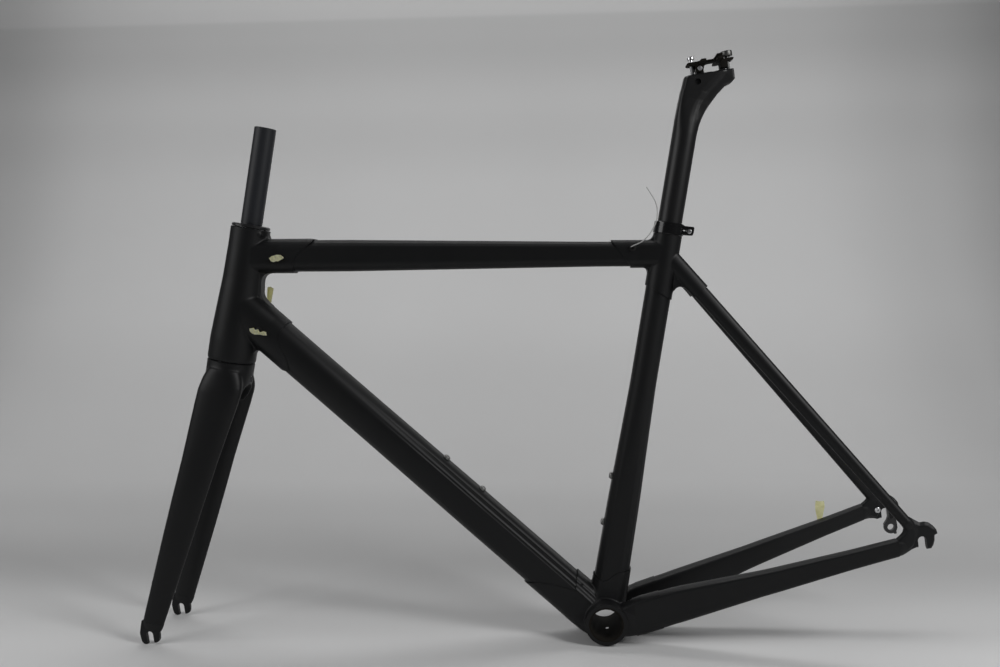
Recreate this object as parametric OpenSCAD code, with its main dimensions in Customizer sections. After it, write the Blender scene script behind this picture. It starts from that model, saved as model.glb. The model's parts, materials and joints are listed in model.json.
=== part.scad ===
// Lugged carbon road bicycle frame with its fork, headset, seatpost and saddle clamp.
// Lengths are millimetres. X runs rearwards, Y to the drive side, Z up, and the origin is
// the middle of the bottom bracket. Shapes are drawn with the wheel axles level, and the
// whole frame is then pitched nose down until it stands on the fork tips and the shell.

/* [Frame geometry] */
// Bottom bracket axis to rear axle
chainstay_length = 409.5; // [395:0.5:430]
// Bottom bracket axis to front axle
front_centre = 609.5; // [590:0.5:640]
// Height of the axle line over the bottom bracket axis
bb_drop = 69; // [60:1:78]
// Seat tube angle from the axle line
seat_angle = 72.7; // [71.5:0.1:74]
// Steering axis angle from the axle line
head_angle = 71.7; // [70.5:0.1:73]
// Front axle to the lower end of the head tube, along the steering axis
fork_length = 377; // [365:1:390]
// Front axle ahead of the steering axis
fork_rake = 38; // [32:1:48]
// Head tube from end to end
head_length = 180; // [160:1:210]
// Lower end of the head tube to where the top tube axis meets the steering axis
top_tube_head = 142; // [125:1:150]
// Bottom bracket axis to where the top tube axis meets the seat tube axis
top_tube_seat = 491; // [470:1:510]
// Lower end of the head tube to where the down tube axis meets the steering axis
down_tube_head = 75.5; // [65:0.5:85]
// Down tube axis below the bottom bracket axis
down_tube_low = 13; // [6:1:18]

/* [Tubes] */
// Top tube depth at the head lug
top_tube_front_depth = 42; // [36:1:46]
// Top tube depth at the seat lug
top_tube_rear_depth = 32.5; // [29:0.5:38]
// Top tube width at the head lug
top_tube_front_width = 38; // [32:1:42]
// Top tube width at the seat lug
top_tube_rear_width = 30; // [26:1:33]
// Down tube depth
down_tube_depth = 53; // [46:0.5:55]
// Down tube width
down_tube_width = 51; // [44:0.5:54]
// Seat tube depth at its upper end, where it is round
seat_tube_top = 34.4; // [34.2:0.1:35]
// Seat tube depth at the bottom bracket lug
seat_tube_low_depth = 44.5; // [38:0.5:46]
// Seat tube width at the bottom bracket lug
seat_tube_low_width = 39; // [36:0.5:42]
// Wall of the main tubes
tube_wall = 1.6; // [1:0.1:2.2]
// Wall of the stays and the fork blades
stay_wall = 1.5; // [1:0.1:1.8]
// Wall of a lug socket
lug_wall = 1.9; // [1.5:0.1:2.5]
// Bond line between a tube and its lug
bond = 0.15; // [0.1:0.05:0.25]

/* [Head and fork] */
// Head tube radius at the top
head_top_r = 26.2; // [25:0.1:28]
// Head tube radius half way up
head_mid_r = 27.2; // [26:0.1:29]
// Head tube radius at the bottom
head_low_r = 32.2; // [31:0.1:34]
// Steerer diameter
steerer_d = 28.6; // [28.6:0.1:28.6]
// Steerer length above the head tube
steerer_up = 134.5; // [60:0.5:160]
// Steerer bore diameter
steerer_bore = 22.4; // [21:0.2:24]
// Fork crown and blade depth at the crown
blade_root_depth = 60; // [54:1:62]
// Fork blade depth at the tip
blade_tip_depth = 29; // [25:1:32]
// Fork blade width at the crown
blade_root_width = 23; // [20:1:25]
// Fork blade width at the tip
blade_tip_width = 11; // [10:1:13]
// Gap between the fork blades under the crown
crown_gap = 33; // [31:1:36]
// Front hub width between the fork tips
front_hub = 100; // [100:1:110]
// Front axle slot width
front_slot = 9; // [9:0.1:9.4]

/* [Rear triangle] */
// Rear hub width between the dropouts
rear_hub = 130; // [126:1:135]
// Rear axle slot width
rear_slot = 10.4; // [10:0.1:10.6]
// Dropout plate thickness
dropout_t = 7; // [6:0.5:8]
// Chainstay depth at the bottom bracket lug
chainstay_root_depth = 49; // [42:1:51]
// Drop of the left chainstay line under the bottom bracket axis
left_root_drop = 6; // [0:1:8]
// Drop of the right chainstay line under the bottom bracket axis
right_root_drop = 10; // [0:1:11]
// Chainstay depth at the dropout
chainstay_end_depth = 22; // [20:0.5:24]
// Chainstay width at the bottom bracket lug
chainstay_root_width = 22; // [19:0.5:23]
// Chainstay width at the dropout
chainstay_end_width = 15; // [13.5:0.5:17]
// Middle of the chainstay to the frame's middle plane, at the bottom bracket lug
chainstay_spread = 29.5; // [28:0.5:31]
// Rise of the left chainstay end over the axle line
left_stay_rise = -6; // [-8:0.5:0]
// Rise of the right chainstay end over the axle line
right_stay_rise = 3; // [-4:0.5:5]
// Seatstay depth at the seat lug
seatstay_top_depth = 20; // [18:0.5:21]
// Seatstay depth at the dropout
seatstay_end_depth = 14; // [13:0.5:16]
// Seatstay width at the seat lug
seatstay_top_width = 15; // [13.5:0.5:17]
// Seatstay width at the dropout
seatstay_end_width = 13; // [12.5:0.5:15]
// Middle of the seatstay to the frame's middle plane, at the seat lug
seatstay_spread = 10.5; // [10:0.5:13]

/* [Bottom bracket] */
// Shell width
bb_width = 86.5; // [86:0.5:92]
// Bearing bore diameter
bb_bore = 41; // [40:0.5:42]
// Outer diameter of the shell sleeve
bb_sleeve_d = 46; // [45:0.5:47]
// Outer radius of the bottom bracket lug
bb_lug_r = 27.8; // [26.5:0.1:29]
// How far the cable guide stands out under the lug
guide_t = 1.5; // [1:0.1:2]

/* [Seat] */
// Seatpost diameter
post_d = 31.6; // [31.6:0.1:31.6]
// Running clearance of the seatpost, on the radius
post_fit = 0.05; // [0.03:0.01:0.08]
// Bottom bracket axis to the top of the seat lug
seat_top = 532; // [520:1:545]
// Seatpost inside the frame
post_inserted = 155; // [110:1:180]
// Height of the seat collar
collar_h = 15; // [13:0.5:17]
// Straight part of the seatpost above the seat lug
post_straight = 116; // [105:1:125]
// Saddle rail spacing
rail_spacing = 44; // [43:0.5:45]
// Saddle rail diameter
rail_d = 7; // [7:0.1:7.4]

/* [Fittings] */
// Spacing of a pair of bottle bolts
bottle_spacing = 64; // [60:1:70]
// Bottom bracket axis to the middle of the bottle bolts on the down tube
down_bottle = 278; // [250:0.5:300]
// Bottom bracket axis to the middle of the bottle bolts on the seat tube
seat_bottle = 156.5; // [145:0.5:170]
// Guide wire diameter
wire_d = 1.4; // [1:0.1:2]

/* [Hidden] */
$fn = 48;
sides = 24;
eps = 0.01;
gap = 0.3;

// Finishes
satin_black = [0.06, 0.06, 0.065];
raw_carbon = [0.16, 0.17, 0.19];
gloss_black = [0.03, 0.03, 0.03];
silver = [0.75, 0.76, 0.78];
steel = [0.6, 0.62, 0.65];
tape_yellow = [0.78, 0.74, 0.45];

// Axles, axes and unit vectors with the axle line level
rear_axle = [sqrt(chainstay_length^2 - bb_drop^2), 0, bb_drop];
front_axle = [-sqrt(front_centre^2 - bb_drop^2), 0, bb_drop];
seat_dir = [cos(seat_angle), 0, sin(seat_angle)];
head_dir = [cos(head_angle), 0, sin(head_angle)];
head_back = [sin(head_angle), 0, -cos(head_angle)];
head_base = front_axle + fork_length * head_dir + fork_rake * head_back;

top_tube_a = head_base + top_tube_head * head_dir;
top_tube_b = top_tube_seat * seat_dir;
top_tube_l = norm(top_tube_b - top_tube_a);
top_tube_dir = (top_tube_b - top_tube_a) / top_tube_l;
down_tube_a = head_base + down_tube_head * head_dir;
down_tube_b = [0, 0, -down_tube_low];
down_tube_l = norm(down_tube_b - down_tube_a);
down_tube_dir = (down_tube_b - down_tube_a) / down_tube_l;

// Fork tip prongs and the pitch at which the frame stands on them
tip_t = 6;
prong_r = 3;
prong_drop = 9.1;
prong_x = front_slot / 2 + prong_r;
bb_low = bb_lug_r + guide_t;
foot = front_axle + [-prong_x, 0, -prong_drop];
foot_reach = norm(foot);
stand_pitch = acos(-(bb_low - prong_r) / foot_reach) - acos(foot.z / foot_reach);

// Seat cluster and seatpost
post_r = post_d / 2;
seat_bore_r = post_r + post_fit;
seat_neck_r = seat_bore_r + 1.6;
seat_lug_r = seat_tube_top / 2 + bond + 1.4;
collar_low = seat_top - collar_h - 1;
seat_tube_end = seat_top - 77;
seat_lug_low = seat_top - 134;

// Seatstays run straight at the rear axle
stay_meet = 493;
stay_top = stay_meet * seat_dir;
stay_l = norm(rear_axle - stay_top);
stay_dir = (rear_axle - stay_top) / stay_l;
stay_start = 38;
stay_lug_end = 74;
stay_stop = 30;
dropout_y = rear_hub / 2 + dropout_t / 2;

// Bottom bracket lug reach
chainstay_start = 38;
chainstay_lug_end = 74;
down_lug_end = 58;
seat_lug_step = 60;
sleeve_fit = 0.05;

// Headset, measured up the steering axis from the lower end of the head tube
steerer_r = steerer_d / 2;
upper_cup_r = 20.9;
upper_bore_r = 15.1;
upper_h = 6.8;
upper_low = head_length - upper_h - 1.2;
lower_cup_r = 26;
lower_bore_r = 20;
lower_h = 7;
lower_low = 1.4;
crown_top = -1.2;
cover_low = head_length + 0.6;
cover_h = 4.4;
seat_fit = 0.05;
ball_fit = 0.05;
upper_ball_r = 1.75;
lower_ball_r = 2;
upper_ball_count = 24;
lower_ball_count = 28;
lower_neck_r = 19.9;
neck_top = 22;
steerer_low = -15;
taper_top = 70;
stem_low = head_length + 6;
neck_relief = 0.35;

// Saddle clamp, in the level frame
clamp_pin = [222.2, 0, 696.8];
pin_r = 3;
clamp_bar_z = 702.5;
clamp_bar_t = 3.5;
front_bolt_x = 213.2;
rear_bolt_x = 259;
clamp_bolt_r = 2.5;
head_half = 11.5;
tongue_half = 5.5;
rail_z = clamp_bar_z + clamp_bar_t + 0.5;
clamp_top = rail_z + 3.7;
clamp_leg_r = 5.2;
clamp_tongue_r = 5;
barrel_r = 3.5;
dish = [239.2, 0, 697.8];
dish_r = 8;

// Guide wire route, as the frame stands
wire_route = [
    [34, -18.6, 494], [38, -21, 496], [42, -23, 497.5], [47, -24.5, 500],
    [52, -26, 504], [57, -27, 509.5], [61, -27.5, 516], [64.5, -28, 523],
    [66.5, -28, 530], [67, -28, 537], [66.5, -28, 544], [64.5, -28, 551],
    [61, -28, 557.5], [57, -28, 564], [53, -28, 570]
];

// Ring of points on a rounded section about c, with half sizes a along u and b along v.
// lean moves the ring along the tube in step with its height, for a slanted lug edge.
function ring(c, u, v, a, b, e = 2.3, lean = [0, 0, 0]) =
    [for (i = [0 : sides - 1])
        let (t = 360 * i / sides,
             p = sign(cos(t)) * abs(cos(t))^(2 / e),
             q = sign(sin(t)) * abs(sin(t))^(2 / e))
        c + a * p * u + b * q * v + q * lean];

function unit(v) = v / norm(v);
function up_of(d) = unit(cross(d, [0, 1, 0]) * sign(cross(d, [0, 1, 0]).z));

// Rings of a tube in the middle plane. A station is [distance, half depth, half width].
function plane_rings(a, d, stations, grow = 0, e = 2.3) =
    [for (s = stations) ring(a + s[0] * d, [0, 1, 0], up_of(d), s[2] + grow, s[1] + grow, e)];

// Rings of a tube along points in space. A station is [point, half depth, half width].
function path_rings(stations, grow = 0, e = 2.3) =
    let (n = len(stations))
    [for (i = [0 : n - 1])
        let (d = unit(stations[min(i + 1, n - 1)][0] - stations[max(i - 1, 0)][0]),
             v = up_of(d),
             u = unit(cross(v, d)) * sign(cross(v, d).y))
        ring(stations[i][0], u, v, stations[i][2] + grow, stations[i][1] + grow, e)];

function quads(a, b, n) =
    [for (i = [0 : n - 1]) let (j = (i + 1) % n) each [[a + i, b + i, b + j], [a + i, b + j, a + j]]];

// Rings in the order in which their faces point outwards
function facing(rings) =
    let (r = rings[0], m = len(rings), n = len(r), along = rings[m - 1][0] - r[0])
    cross(r[floor(n / 4)] - r[0], r[floor(n / 2)] - r[0]) * along;
function ordered(rings, turn) =
    turn > 0 ? rings : [for (k = [len(rings) - 1 : -1 : 0]) rings[k]];

// Solid through a row of rings
module loft(row) {
    rings = ordered(row, facing(row));
    n = len(rings[0]);
    m = len(rings);
    first = [for (i = [0 : n - 1]) i];
    last = [for (i = [n - 1 : -1 : 0]) (m - 1) * n + i];
    sides_faces = [for (k = [0 : m - 2]) each quads(k * n, (k + 1) * n, n)];
    polyhedron([for (r = rings) each r], concat([first, last], sides_faces));
}

// Open tube between an outer and an inner row of rings
module pipe(outside, inside) {
    outer = ordered(outside, facing(outside));
    inner = ordered(inside, facing(outside));
    n = len(outer[0]);
    m = len(outer);
    loop = concat(outer, [for (k = [m - 1 : -1 : 0]) inner[k]]);
    faces = [for (k = [0 : 2 * m - 1]) each quads(k * n, ((k + 1) % (2 * m)) * n, n)];
    polyhedron([for (r = loop) each r], faces);
}

module stand() { rotate([0, -stand_pitch, 0]) children(); }
module on_head(s = 0) {
    stand() translate(head_base) rotate([0, 90 - head_angle, 0]) translate([0, 0, s]) children();
}
module on_seat(t = 0) { stand() rotate([0, 90 - seat_angle, 0]) translate([0, 0, t]) children(); }
module across(p) { stand() translate(p) rotate([-90, 0, 0]) children(); }
module tube_cut(r, a, b) { translate([0, 0, a]) cylinder(r = r, h = b - a); }

// Stations of the main tubes
function top_tube_stations(a, b) =
    [for (s = concat([a], [for (f = [0.2, 0.25, 0.55, 0.85, 0.9])
            if (f * top_tube_l > a + 1 && f * top_tube_l < b - 1) f * top_tube_l], [b]))
        let (f = s / top_tube_l)
        [s,
         lookup(f, [[0.25, top_tube_front_depth / 2], [0.85, top_tube_rear_depth / 2]]),
         lookup(f, [[0.2, top_tube_front_width / 2], [0.9, top_tube_rear_width / 2]])]];
function down_tube_stations(a, b) =
    [for (k = [0 : 4]) [a + (b - a) * k / 4, down_tube_depth / 2, down_tube_width / 2]];
function seat_tube_stations(a, b) =
    [for (k = [0 : 6])
        let (t = a + (b - a) * k / 6, f = t / seat_tube_end)
        [t,
         lookup(f, [[0.1, seat_tube_low_depth / 2], [0.35, seat_tube_low_depth * 0.47],
                    [0.7, seat_tube_top / 2]]),
         lookup(f, [[0.1, seat_tube_low_width / 2], [0.6, seat_tube_top / 2]])]];

top_tube_start = 36;
top_tube_stop = top_tube_l - 27;
down_tube_start = 52;
down_tube_stop = down_tube_l - 38;
seat_tube_start = 40;

// Lug socket around a tube, with a slanted outer edge
module sleeve(a, d, stations, lean, grow = lug_wall + bond) {
    v = up_of(d);
    m = len(stations);
    loft([for (k = [0 : m - 1])
        let (s = stations[k])
        ring(a + s[0] * d, [0, 1, 0], v, s[2] + grow, s[1] + grow, 2.3, lean * d * k / (m - 1))]);
}

module head_lug() {
    lug_top = 78;
    lug_down = 84;
    color(satin_black) difference() {
        union() {
            on_head() rotate_extrude() polygon([
                [0, 0], [head_low_r - 0.6, 0], [head_low_r, 3], [head_low_r, 0.16 * head_length],
                [(head_low_r + head_mid_r) / 2, 0.4 * head_length], [head_mid_r, 0.62 * head_length],
                [head_top_r, 0.85 * head_length], [head_top_r, head_length], [0, head_length]]);
            stand() sleeve(top_tube_a, top_tube_dir, top_tube_stations(8, lug_top), 17);
            stand() sleeve(down_tube_a, down_tube_dir, down_tube_stations(8, lug_down), -22);
        }
        stand() loft(plane_rings(top_tube_a, top_tube_dir,
            top_tube_stations(top_tube_start - gap, lug_top + 60), bond));
        stand() loft(plane_rings(down_tube_a, down_tube_dir,
            down_tube_stations(down_tube_start - gap, lug_down + 60), bond));
        stand() loft(plane_rings(top_tube_a, top_tube_dir,
            top_tube_stations(0, top_tube_start), -tube_wall - 1.5));
        stand() loft(plane_rings(down_tube_a, down_tube_dir,
            down_tube_stations(0, down_tube_start), -tube_wall - 1.5));
        on_head() tube_cut(lower_cup_r + seat_fit, -1, lower_low + lower_h);
        on_head() tube_cut(lower_bore_r + 2.4, 0, taper_top);
        on_head() tube_cut(upper_bore_r + 3, taper_top, head_length);
        on_head() tube_cut(head_mid_r - 3, lower_low + lower_h + 4, upper_low - 5);
        on_head() tube_cut(upper_cup_r + seat_fit, upper_low, head_length + 1);
        port_holes();
    }
}

module top_tube() {
    color(satin_black) difference() {
        stand() pipe(
            plane_rings(top_tube_a, top_tube_dir, top_tube_stations(top_tube_start, top_tube_stop)),
            plane_rings(top_tube_a, top_tube_dir,
                top_tube_stations(top_tube_start, top_tube_stop), -tube_wall));
        port_holes();
    }
}

module down_tube() {
    color(satin_black) difference() {
        stand() pipe(
            plane_rings(down_tube_a, down_tube_dir, down_tube_stations(down_tube_start, down_tube_stop)),
            plane_rings(down_tube_a, down_tube_dir,
                down_tube_stations(down_tube_start, down_tube_stop), -tube_wall));
        bottle_places() cylinder(r = insert_r + bond, h = 12, center = true);
    }
}

module seat_tube() {
    color(satin_black) difference() {
        stand() loft(plane_rings([0, 0, 0], seat_dir,
            seat_tube_stations(seat_tube_start, seat_tube_end), 0, 2));
        on_seat() tube_cut(seat_bore_r, seat_tube_start - 1, seat_tube_end + 1);
        stand() loft(plane_rings([0, 0, 0], seat_dir,
            seat_tube_stations(seat_tube_start - 1, 0.5 * seat_tube_end), -tube_wall, 2));
        bottle_places() cylinder(r = insert_r + bond, h = 12, center = true);
    }
}

module seat_lug() {
    lug_front = 76;
    color(satin_black) difference() {
        union() {
            on_seat() tube_cut(seat_lug_r, seat_lug_low, collar_low);
            on_seat() tube_cut(seat_neck_r, collar_low - 1, seat_top);
            stand() sleeve(top_tube_b, -top_tube_dir,
                [for (s = top_tube_stations(top_tube_l - lug_front, top_tube_l - 4))
                    [top_tube_l - s[0], s[1], s[2]]], 0);
            stand() loft([for (s = [6, 30, 52, stay_lug_end])
                ring(stay_top + s * stay_dir, [0, 1, 0], up_of(stay_dir),
                     seatstay_spread + seatstay_top_width / 2 + lug_wall,
                     seatstay_top_depth / 2 + lug_wall, 3)]);
        }
        on_seat() tube_cut(seat_bore_r, seat_lug_low - 1, seat_top + 1);
        on_seat() tube_cut(seat_tube_top / 2 + bond, seat_lug_low - 1, seat_tube_end + gap);
        stand() loft(plane_rings(top_tube_a, top_tube_dir,
            top_tube_stations(top_tube_l - lug_front - 60, top_tube_stop + gap), bond));
        for (side = [-1, 1]) stand() loft(path_rings(seatstay_stations(side, stay_start - gap), bond));
        on_seat(seat_top - 26) translate([0, -1, -1]) cube([40, 2, 28]);
        port_holes();
    }
}

module bb_lug() {
    color(satin_black) difference() {
        union() {
            across([0, 0, 0]) cylinder(r = bb_lug_r, h = bb_width, center = true);
            stand() sleeve(down_tube_b, -down_tube_dir,
                [[4, down_tube_depth / 2 - 11, down_tube_width / 2 - 4],
                 [24, down_tube_depth / 2 - 1, down_tube_width / 2],
                 [40, down_tube_depth / 2, down_tube_width / 2],
                 [down_lug_end, down_tube_depth / 2, down_tube_width / 2]], 10);
            stand() sleeve([0, 0, 0], seat_dir, seat_tube_stations(4, seat_lug_step), -6);
            for (side = [-1, 1]) stand() loft(path_rings(
                chainstay_root_stations(side), lug_wall + bond, 2.6));
        }
        across([0, 0, 0]) cylinder(r = bb_sleeve_d / 2 + sleeve_fit, h = bb_width + 2, center = true);
        stand() loft(plane_rings(down_tube_b, -down_tube_dir,
            [for (s = [38 - gap, down_lug_end + 50]) [s, down_tube_depth / 2, down_tube_width / 2]], bond));
        stand() loft(plane_rings([0, 0, 0], seat_dir,
            seat_tube_stations(seat_tube_start - gap, seat_tube_end), bond, 2));
        for (side = [-1, 1]) stand() loft(path_rings(chainstay_stations(side, chainstay_start - gap), bond));
        guide_block(0.2);
        stand() translate([0, 0, -bb_low - 1]) cylinder(r = 2.6, h = 16);
    }
}

module bb_sleeve() {
    color(gloss_black) across([0, 0, 0]) difference() {
        cylinder(r = bb_sleeve_d / 2, h = bb_width, center = true);
        cylinder(r = bb_bore / 2, h = bb_width + 2, center = true);
        rotate([-90, 0, 0]) cylinder(r = 2.7, h = bb_sleeve_d);
    }
}

// Chainstay from the bottom bracket lug to the dropout. z follows the rise of its end.
function chainstay_rise(side) = side < 0 ? left_stay_rise : right_stay_rise;
function chainstay_drop(side) = side < 0 ? left_root_drop : right_root_drop;
function chainstay_point(side, f) =
    let (x_end = rear_axle.x - stay_stop, z_end = rear_axle.z + chainstay_rise(side))
    [f * x_end,
     side * lookup(f, [[0.1, chainstay_spread], [0.25, chainstay_spread + 3], [0.6, 52], [1, dropout_y]]),
     -chainstay_drop(side) + (z_end + chainstay_drop(side)) * f];
function chainstay_stations(side, start) =
    [for (k = [0 : 8])
        let (f0 = start / (rear_axle.x - stay_stop), f = f0 + (1 - f0) * k / 8)
        [chainstay_point(side, f),
         lookup(f, [[0.1, chainstay_root_depth / 2], [0.27, chainstay_root_depth / 2 - 1.5],
                    [0.55, chainstay_end_depth / 2 + 5], [0.85, chainstay_end_depth / 2 + 0.8],
                    [1, chainstay_end_depth / 2]]),
         lookup(f, [[0.1, chainstay_root_width / 2], [0.5, chainstay_end_width / 2 + 2],
                    [1, chainstay_end_width / 2]])]];
function chainstay_root_stations(side) =
    [for (x = [6, 26, 48, chainstay_lug_end])
        [chainstay_point(side, x / (rear_axle.x - stay_stop)),
         chainstay_root_depth / 2 - lookup(x, [[6, 10], [26, 3.5], [48, 0]]), chainstay_root_width / 2]];

module chainstay(side) {
    stations = chainstay_stations(side, chainstay_start);
    color(satin_black) difference() {
        stand() pipe(path_rings(stations), path_rings(stations, -stay_wall));
        port_holes();
    }
}
module left_chainstay() { chainstay(-1); }
module right_chainstay() { chainstay(1); }

// Seatstay from the seat lug to the dropout
function seatstay_point(side, s) =
    let (f = (s - stay_start) / (stay_l - stay_stop - stay_start))
    stay_top + s * stay_dir + [0, side * (seatstay_spread + (dropout_y - seatstay_spread) * f), 0];
function seatstay_stations(side, start) =
    [for (k = [0 : 6])
        let (s = start + (stay_l - stay_stop - start) * k / 6, f = k / 6)
        [seatstay_point(side, s),
         (seatstay_top_depth + (seatstay_end_depth - seatstay_top_depth) * f) / 2,
         (seatstay_top_width + (seatstay_end_width - seatstay_top_width) * f) / 2]];

module seatstay(side) {
    stations = seatstay_stations(side, stay_start);
    color(satin_black) stand() pipe(path_rings(stations), path_rings(stations, -stay_wall));
}
module left_seatstay() { seatstay(-1); }
module right_seatstay() { seatstay(1); }

// Bridge for the rear brake, held between the stays
bridge_s = 112;
module brake_bridge() {
    c = stay_top + bridge_s * stay_dir;
    half = abs(seatstay_point(1, bridge_s).y) - seatstay_top_width / 2;
    color(satin_black) difference() {
        stand() translate(c) rotate([90, 0, 0]) cylinder(r = 6, h = 2 * half, center = true);
        for (side = [-1, 1]) stand() loft(path_rings(seatstay_stations(side, stay_start), bond));
        stand() translate(c) rotate([0, 90 - bridge_turn, 0]) cylinder(r = 3, h = 40, center = true);
    }
}
bridge_turn = -32;

// Dropout plate. Points are given from the axle, with the axle line level.
module plate(y, t) {
    stand() translate(rear_axle + [0, y, 0]) rotate([90, 0, 0]) linear_extrude(t, center = true) children();
}
module dropout(side, rise) {
    a = rear_slot / 2;
    stay_x = -stay_stop;
    y = side * dropout_y;
    color(satin_black) difference() {
        union() {
            difference() {
                plate(y, dropout_t) polygon([
                [-5.4, 26], [0, 21.5], [6, 22.5], [13.5, 19], [20, 8], [15, 3], [15, -5], [11, -11.4],
                [-2, -11.4], [-a - 0.6, -6], [-9, -8.5], [stay_x, rise - chainstay_end_depth / 2],
                [stay_x, rise + chainstay_end_depth / 2], [-22.5, rise + 18.5], [-22, 22],
                [-20, 26.5], [-13, 30]]);
                stand() loft(path_rings(chainstay_stations(side, chainstay_start), bond));
                stand() loft(path_rings(seatstay_stations(side, stay_start), bond));
            }
            plate(y, dropout_t) translate([stay_x - 10, rise - 5.5]) square([16, 9]);
            plate(y, dropout_t) rotate(atan2(stay_dir.x, -stay_dir.z))
                translate([-2.2, 20]) square([4.4, 16]);
        }
        stand() translate(rear_axle + [0, y, 0]) rotate([90, 0, 0]) cylinder(r = a, h = 30, center = true);
        stand() translate(rear_axle + [-a, y - 15, -30]) cube([2 * a, 30, 30]);
        children();
    }
}
module left_dropout() { dropout(-1, left_stay_rise); }
module right_dropout() {
    dropout(1, right_stay_rise) stand() translate(rear_axle + hanger_bolt)
        rotate([90, 0, 0]) cylinder(r = 2.6, h = 200, center = true);
}

// Replaceable hanger, bolted to the outer face of the right dropout
hanger_t = 5;
hanger_bolt = [-10, 0, 4];
hanger_hole = [7.5, 0, -25];
hanger_hole_r = 4.6;
hanger_y = rear_hub / 2 + dropout_t + hanger_t / 2;
module hanger_hole_cut(p, r) {
    stand() translate(rear_axle + p + [0, hanger_y, 0]) rotate([90, 0, 0])
        cylinder(r = r, h = 30, center = true);
}
module hanger_round(p, r) {
    stand() translate(rear_axle + p + [0, hanger_y, 0]) rotate([90, 0, 0])
        cylinder(r = r, h = hanger_t, center = true);
}
module derailleur_hanger() {
    a = rear_slot / 2;
    color(gloss_black) difference() {
        union() {
            hanger_round(hanger_bolt, 6);
            plate(hanger_y, hanger_t) polygon([
                [-14, 8], [-6, 13], [6, 13.5], [14, 9], [15, 0], [16.2, -16], [16.6, -24],
                [hanger_hole.x, -26], [-1, -20], [1, -12], [-1, -9], [-a - 1, -2.5], [-10, -1.6]]);
            hanger_round(hanger_hole, 9.2);
            plate(hanger_y, hanger_t) translate([hanger_hole.x + 3, hanger_hole.z - 10]) square([4, 8]);
        }
        hanger_hole_cut([0, 0, 0], a);
        stand() translate(rear_axle + [-a - 8, hanger_y - 15, -16]) cube([2 * a + 8, 30, 16]);
        hanger_hole_cut(hanger_hole, hanger_hole_r);
        hanger_hole_cut(hanger_bolt, 2.6);
    }
}
module hanger_bolts() {
    inner = rear_hub / 2;
    color(silver) stand() translate(rear_axle + hanger_bolt) rotate([-90, 0, 0]) difference() {
        union() {
            translate([0, 0, inner - 2.2]) cylinder(r = 4, h = 2.2);
            translate([0, 0, inner - 0.5]) cylinder(r = 2.5, h = dropout_t + hanger_t + 0.5);
        }
        translate([0, 0, inner - 3]) cylinder(r = 1.7, h = 2, $fn = 6);
    }
}

// Bottle inserts and bolts on the top of the down tube and the front of the seat tube
insert_r = 3.4;
insert_flange = 1.2;
module bottle_places() {
    for (k = [-1, 1]) {
        stand() translate(down_tube_b - (down_bottle + k * bottle_spacing / 2) * down_tube_dir
            + up_of(down_tube_dir) * down_tube_depth / 2)
            rotate([0, 90 - atan2(up_of(down_tube_dir).z, up_of(down_tube_dir).x), 0]) children();
        let (t = seat_bottle + k * bottle_spacing / 2,
             front = lookup(t / seat_tube_end, [[0.1, seat_tube_low_depth / 2],
                 [0.35, seat_tube_low_depth * 0.47], [0.7, seat_tube_top / 2]]))
            on_seat(t) translate([-front, 0, 0]) rotate([0, -90, 0]) children();
    }
}
module bottle_inserts() {
    color(silver) bottle_places() difference() {
        union() {
            translate([0, 0, 0.3]) cylinder(r = 5, h = insert_flange);
            translate([0, 0, -9]) cylinder(r = insert_r, h = 9.5);
        }
        translate([0, 0, -10]) cylinder(r = 2.5, h = 13);
    }
}
module bottle_bolts() {
    head_z = 0.3 + insert_flange;
    color(steel) bottle_places() difference() {
        union() {
            translate([0, 0, -6.5]) cylinder(r = 2.45, h = 7 + head_z);
            translate([0, 0, head_z]) rotate_extrude()
                polygon([[0, 0], [4.6, 0], [4.6, 1], [4, 2.2], [2.8, 2.9], [0, 3]]);
        }
        translate([0, 0, head_z + 1.2]) cylinder(r = 1.7, h = 3, $fn = 6);
    }
}

// Cable guide under the bottom bracket, let into the lug, and the screw that holds it
module guide_block(grow) {
    across([0, 0, 0]) difference() {
        cylinder(r = bb_low, h = 46 + 2 * grow, center = true);
        cylinder(r = bb_lug_r - 2 - grow, h = 60, center = true);
        translate([-40, -80 + 20, -40]) cube([80, 80, 80]);
        for (k = [-1, 1]) rotate([0, 0, k * 20])
            translate([k > 0 ? -60 - grow : grow, -10, -40]) cube([60, 60, 80]);
    }
}
module bb_cable_guide() {
    color(gloss_black) difference() {
        guide_block(0);
        for (y = [-8, 8]) across([0, y, 0]) difference() {
            cylinder(r = bb_low + 2, h = 2, center = true);
            cylinder(r = bb_low - 1, h = 4, center = true);
        }
        stand() translate([0, 0, -bb_low - 1]) cylinder(r = 2.2, h = 12);
        stand() translate([0, 0, -bb_low - 1]) cylinder(r = 3.8, h = 2.1);
    }
}
module bb_guide_screw() {
    color(silver) stand() translate([0, 0, -bb_low]) difference() {
        union() {
            translate([0, 0, 0.2]) cylinder(r = 3.6, h = 0.7);
            translate([0, 0, 0.5]) cylinder(r = 2.1, h = 8.1);
        }
        translate([0, 0, -1]) cylinder(r = 1, h = 1.6, $fn = 6);
    }
}

// Cable ports. Each place is [point, side, distance from the middle plane].
port_r = 3.6;
port_places = [
    [[-361, 0, 541], -1, 20.6], [[-398, 0, 449], -1, 27.2], [[-400, 0, 468], 1, 27.2],
    [[104.5, 0, 482.5], -1, 16.6], [[316, 0, 62], 1, 69.6]
];
module port_holes() {
    for (p = port_places) stand() translate([p[0].x, p[1] * (p[2] - 4), p[0].z])
        rotate([-90 * p[1], 0, 0]) cylinder(r = port_r + bond, h = 20);
}
module cable_ports() {
    color(gloss_black) for (p = port_places)
        stand() translate([p[0].x, p[1] * (p[2] - 3.4), p[0].z]) rotate([-90 * p[1], 0, 0])
            difference() {
                cylinder(r = port_r, h = 5.4);
                translate([0, 0, -1]) cylinder(r = 1.2, h = 8);
            }
}

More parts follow.
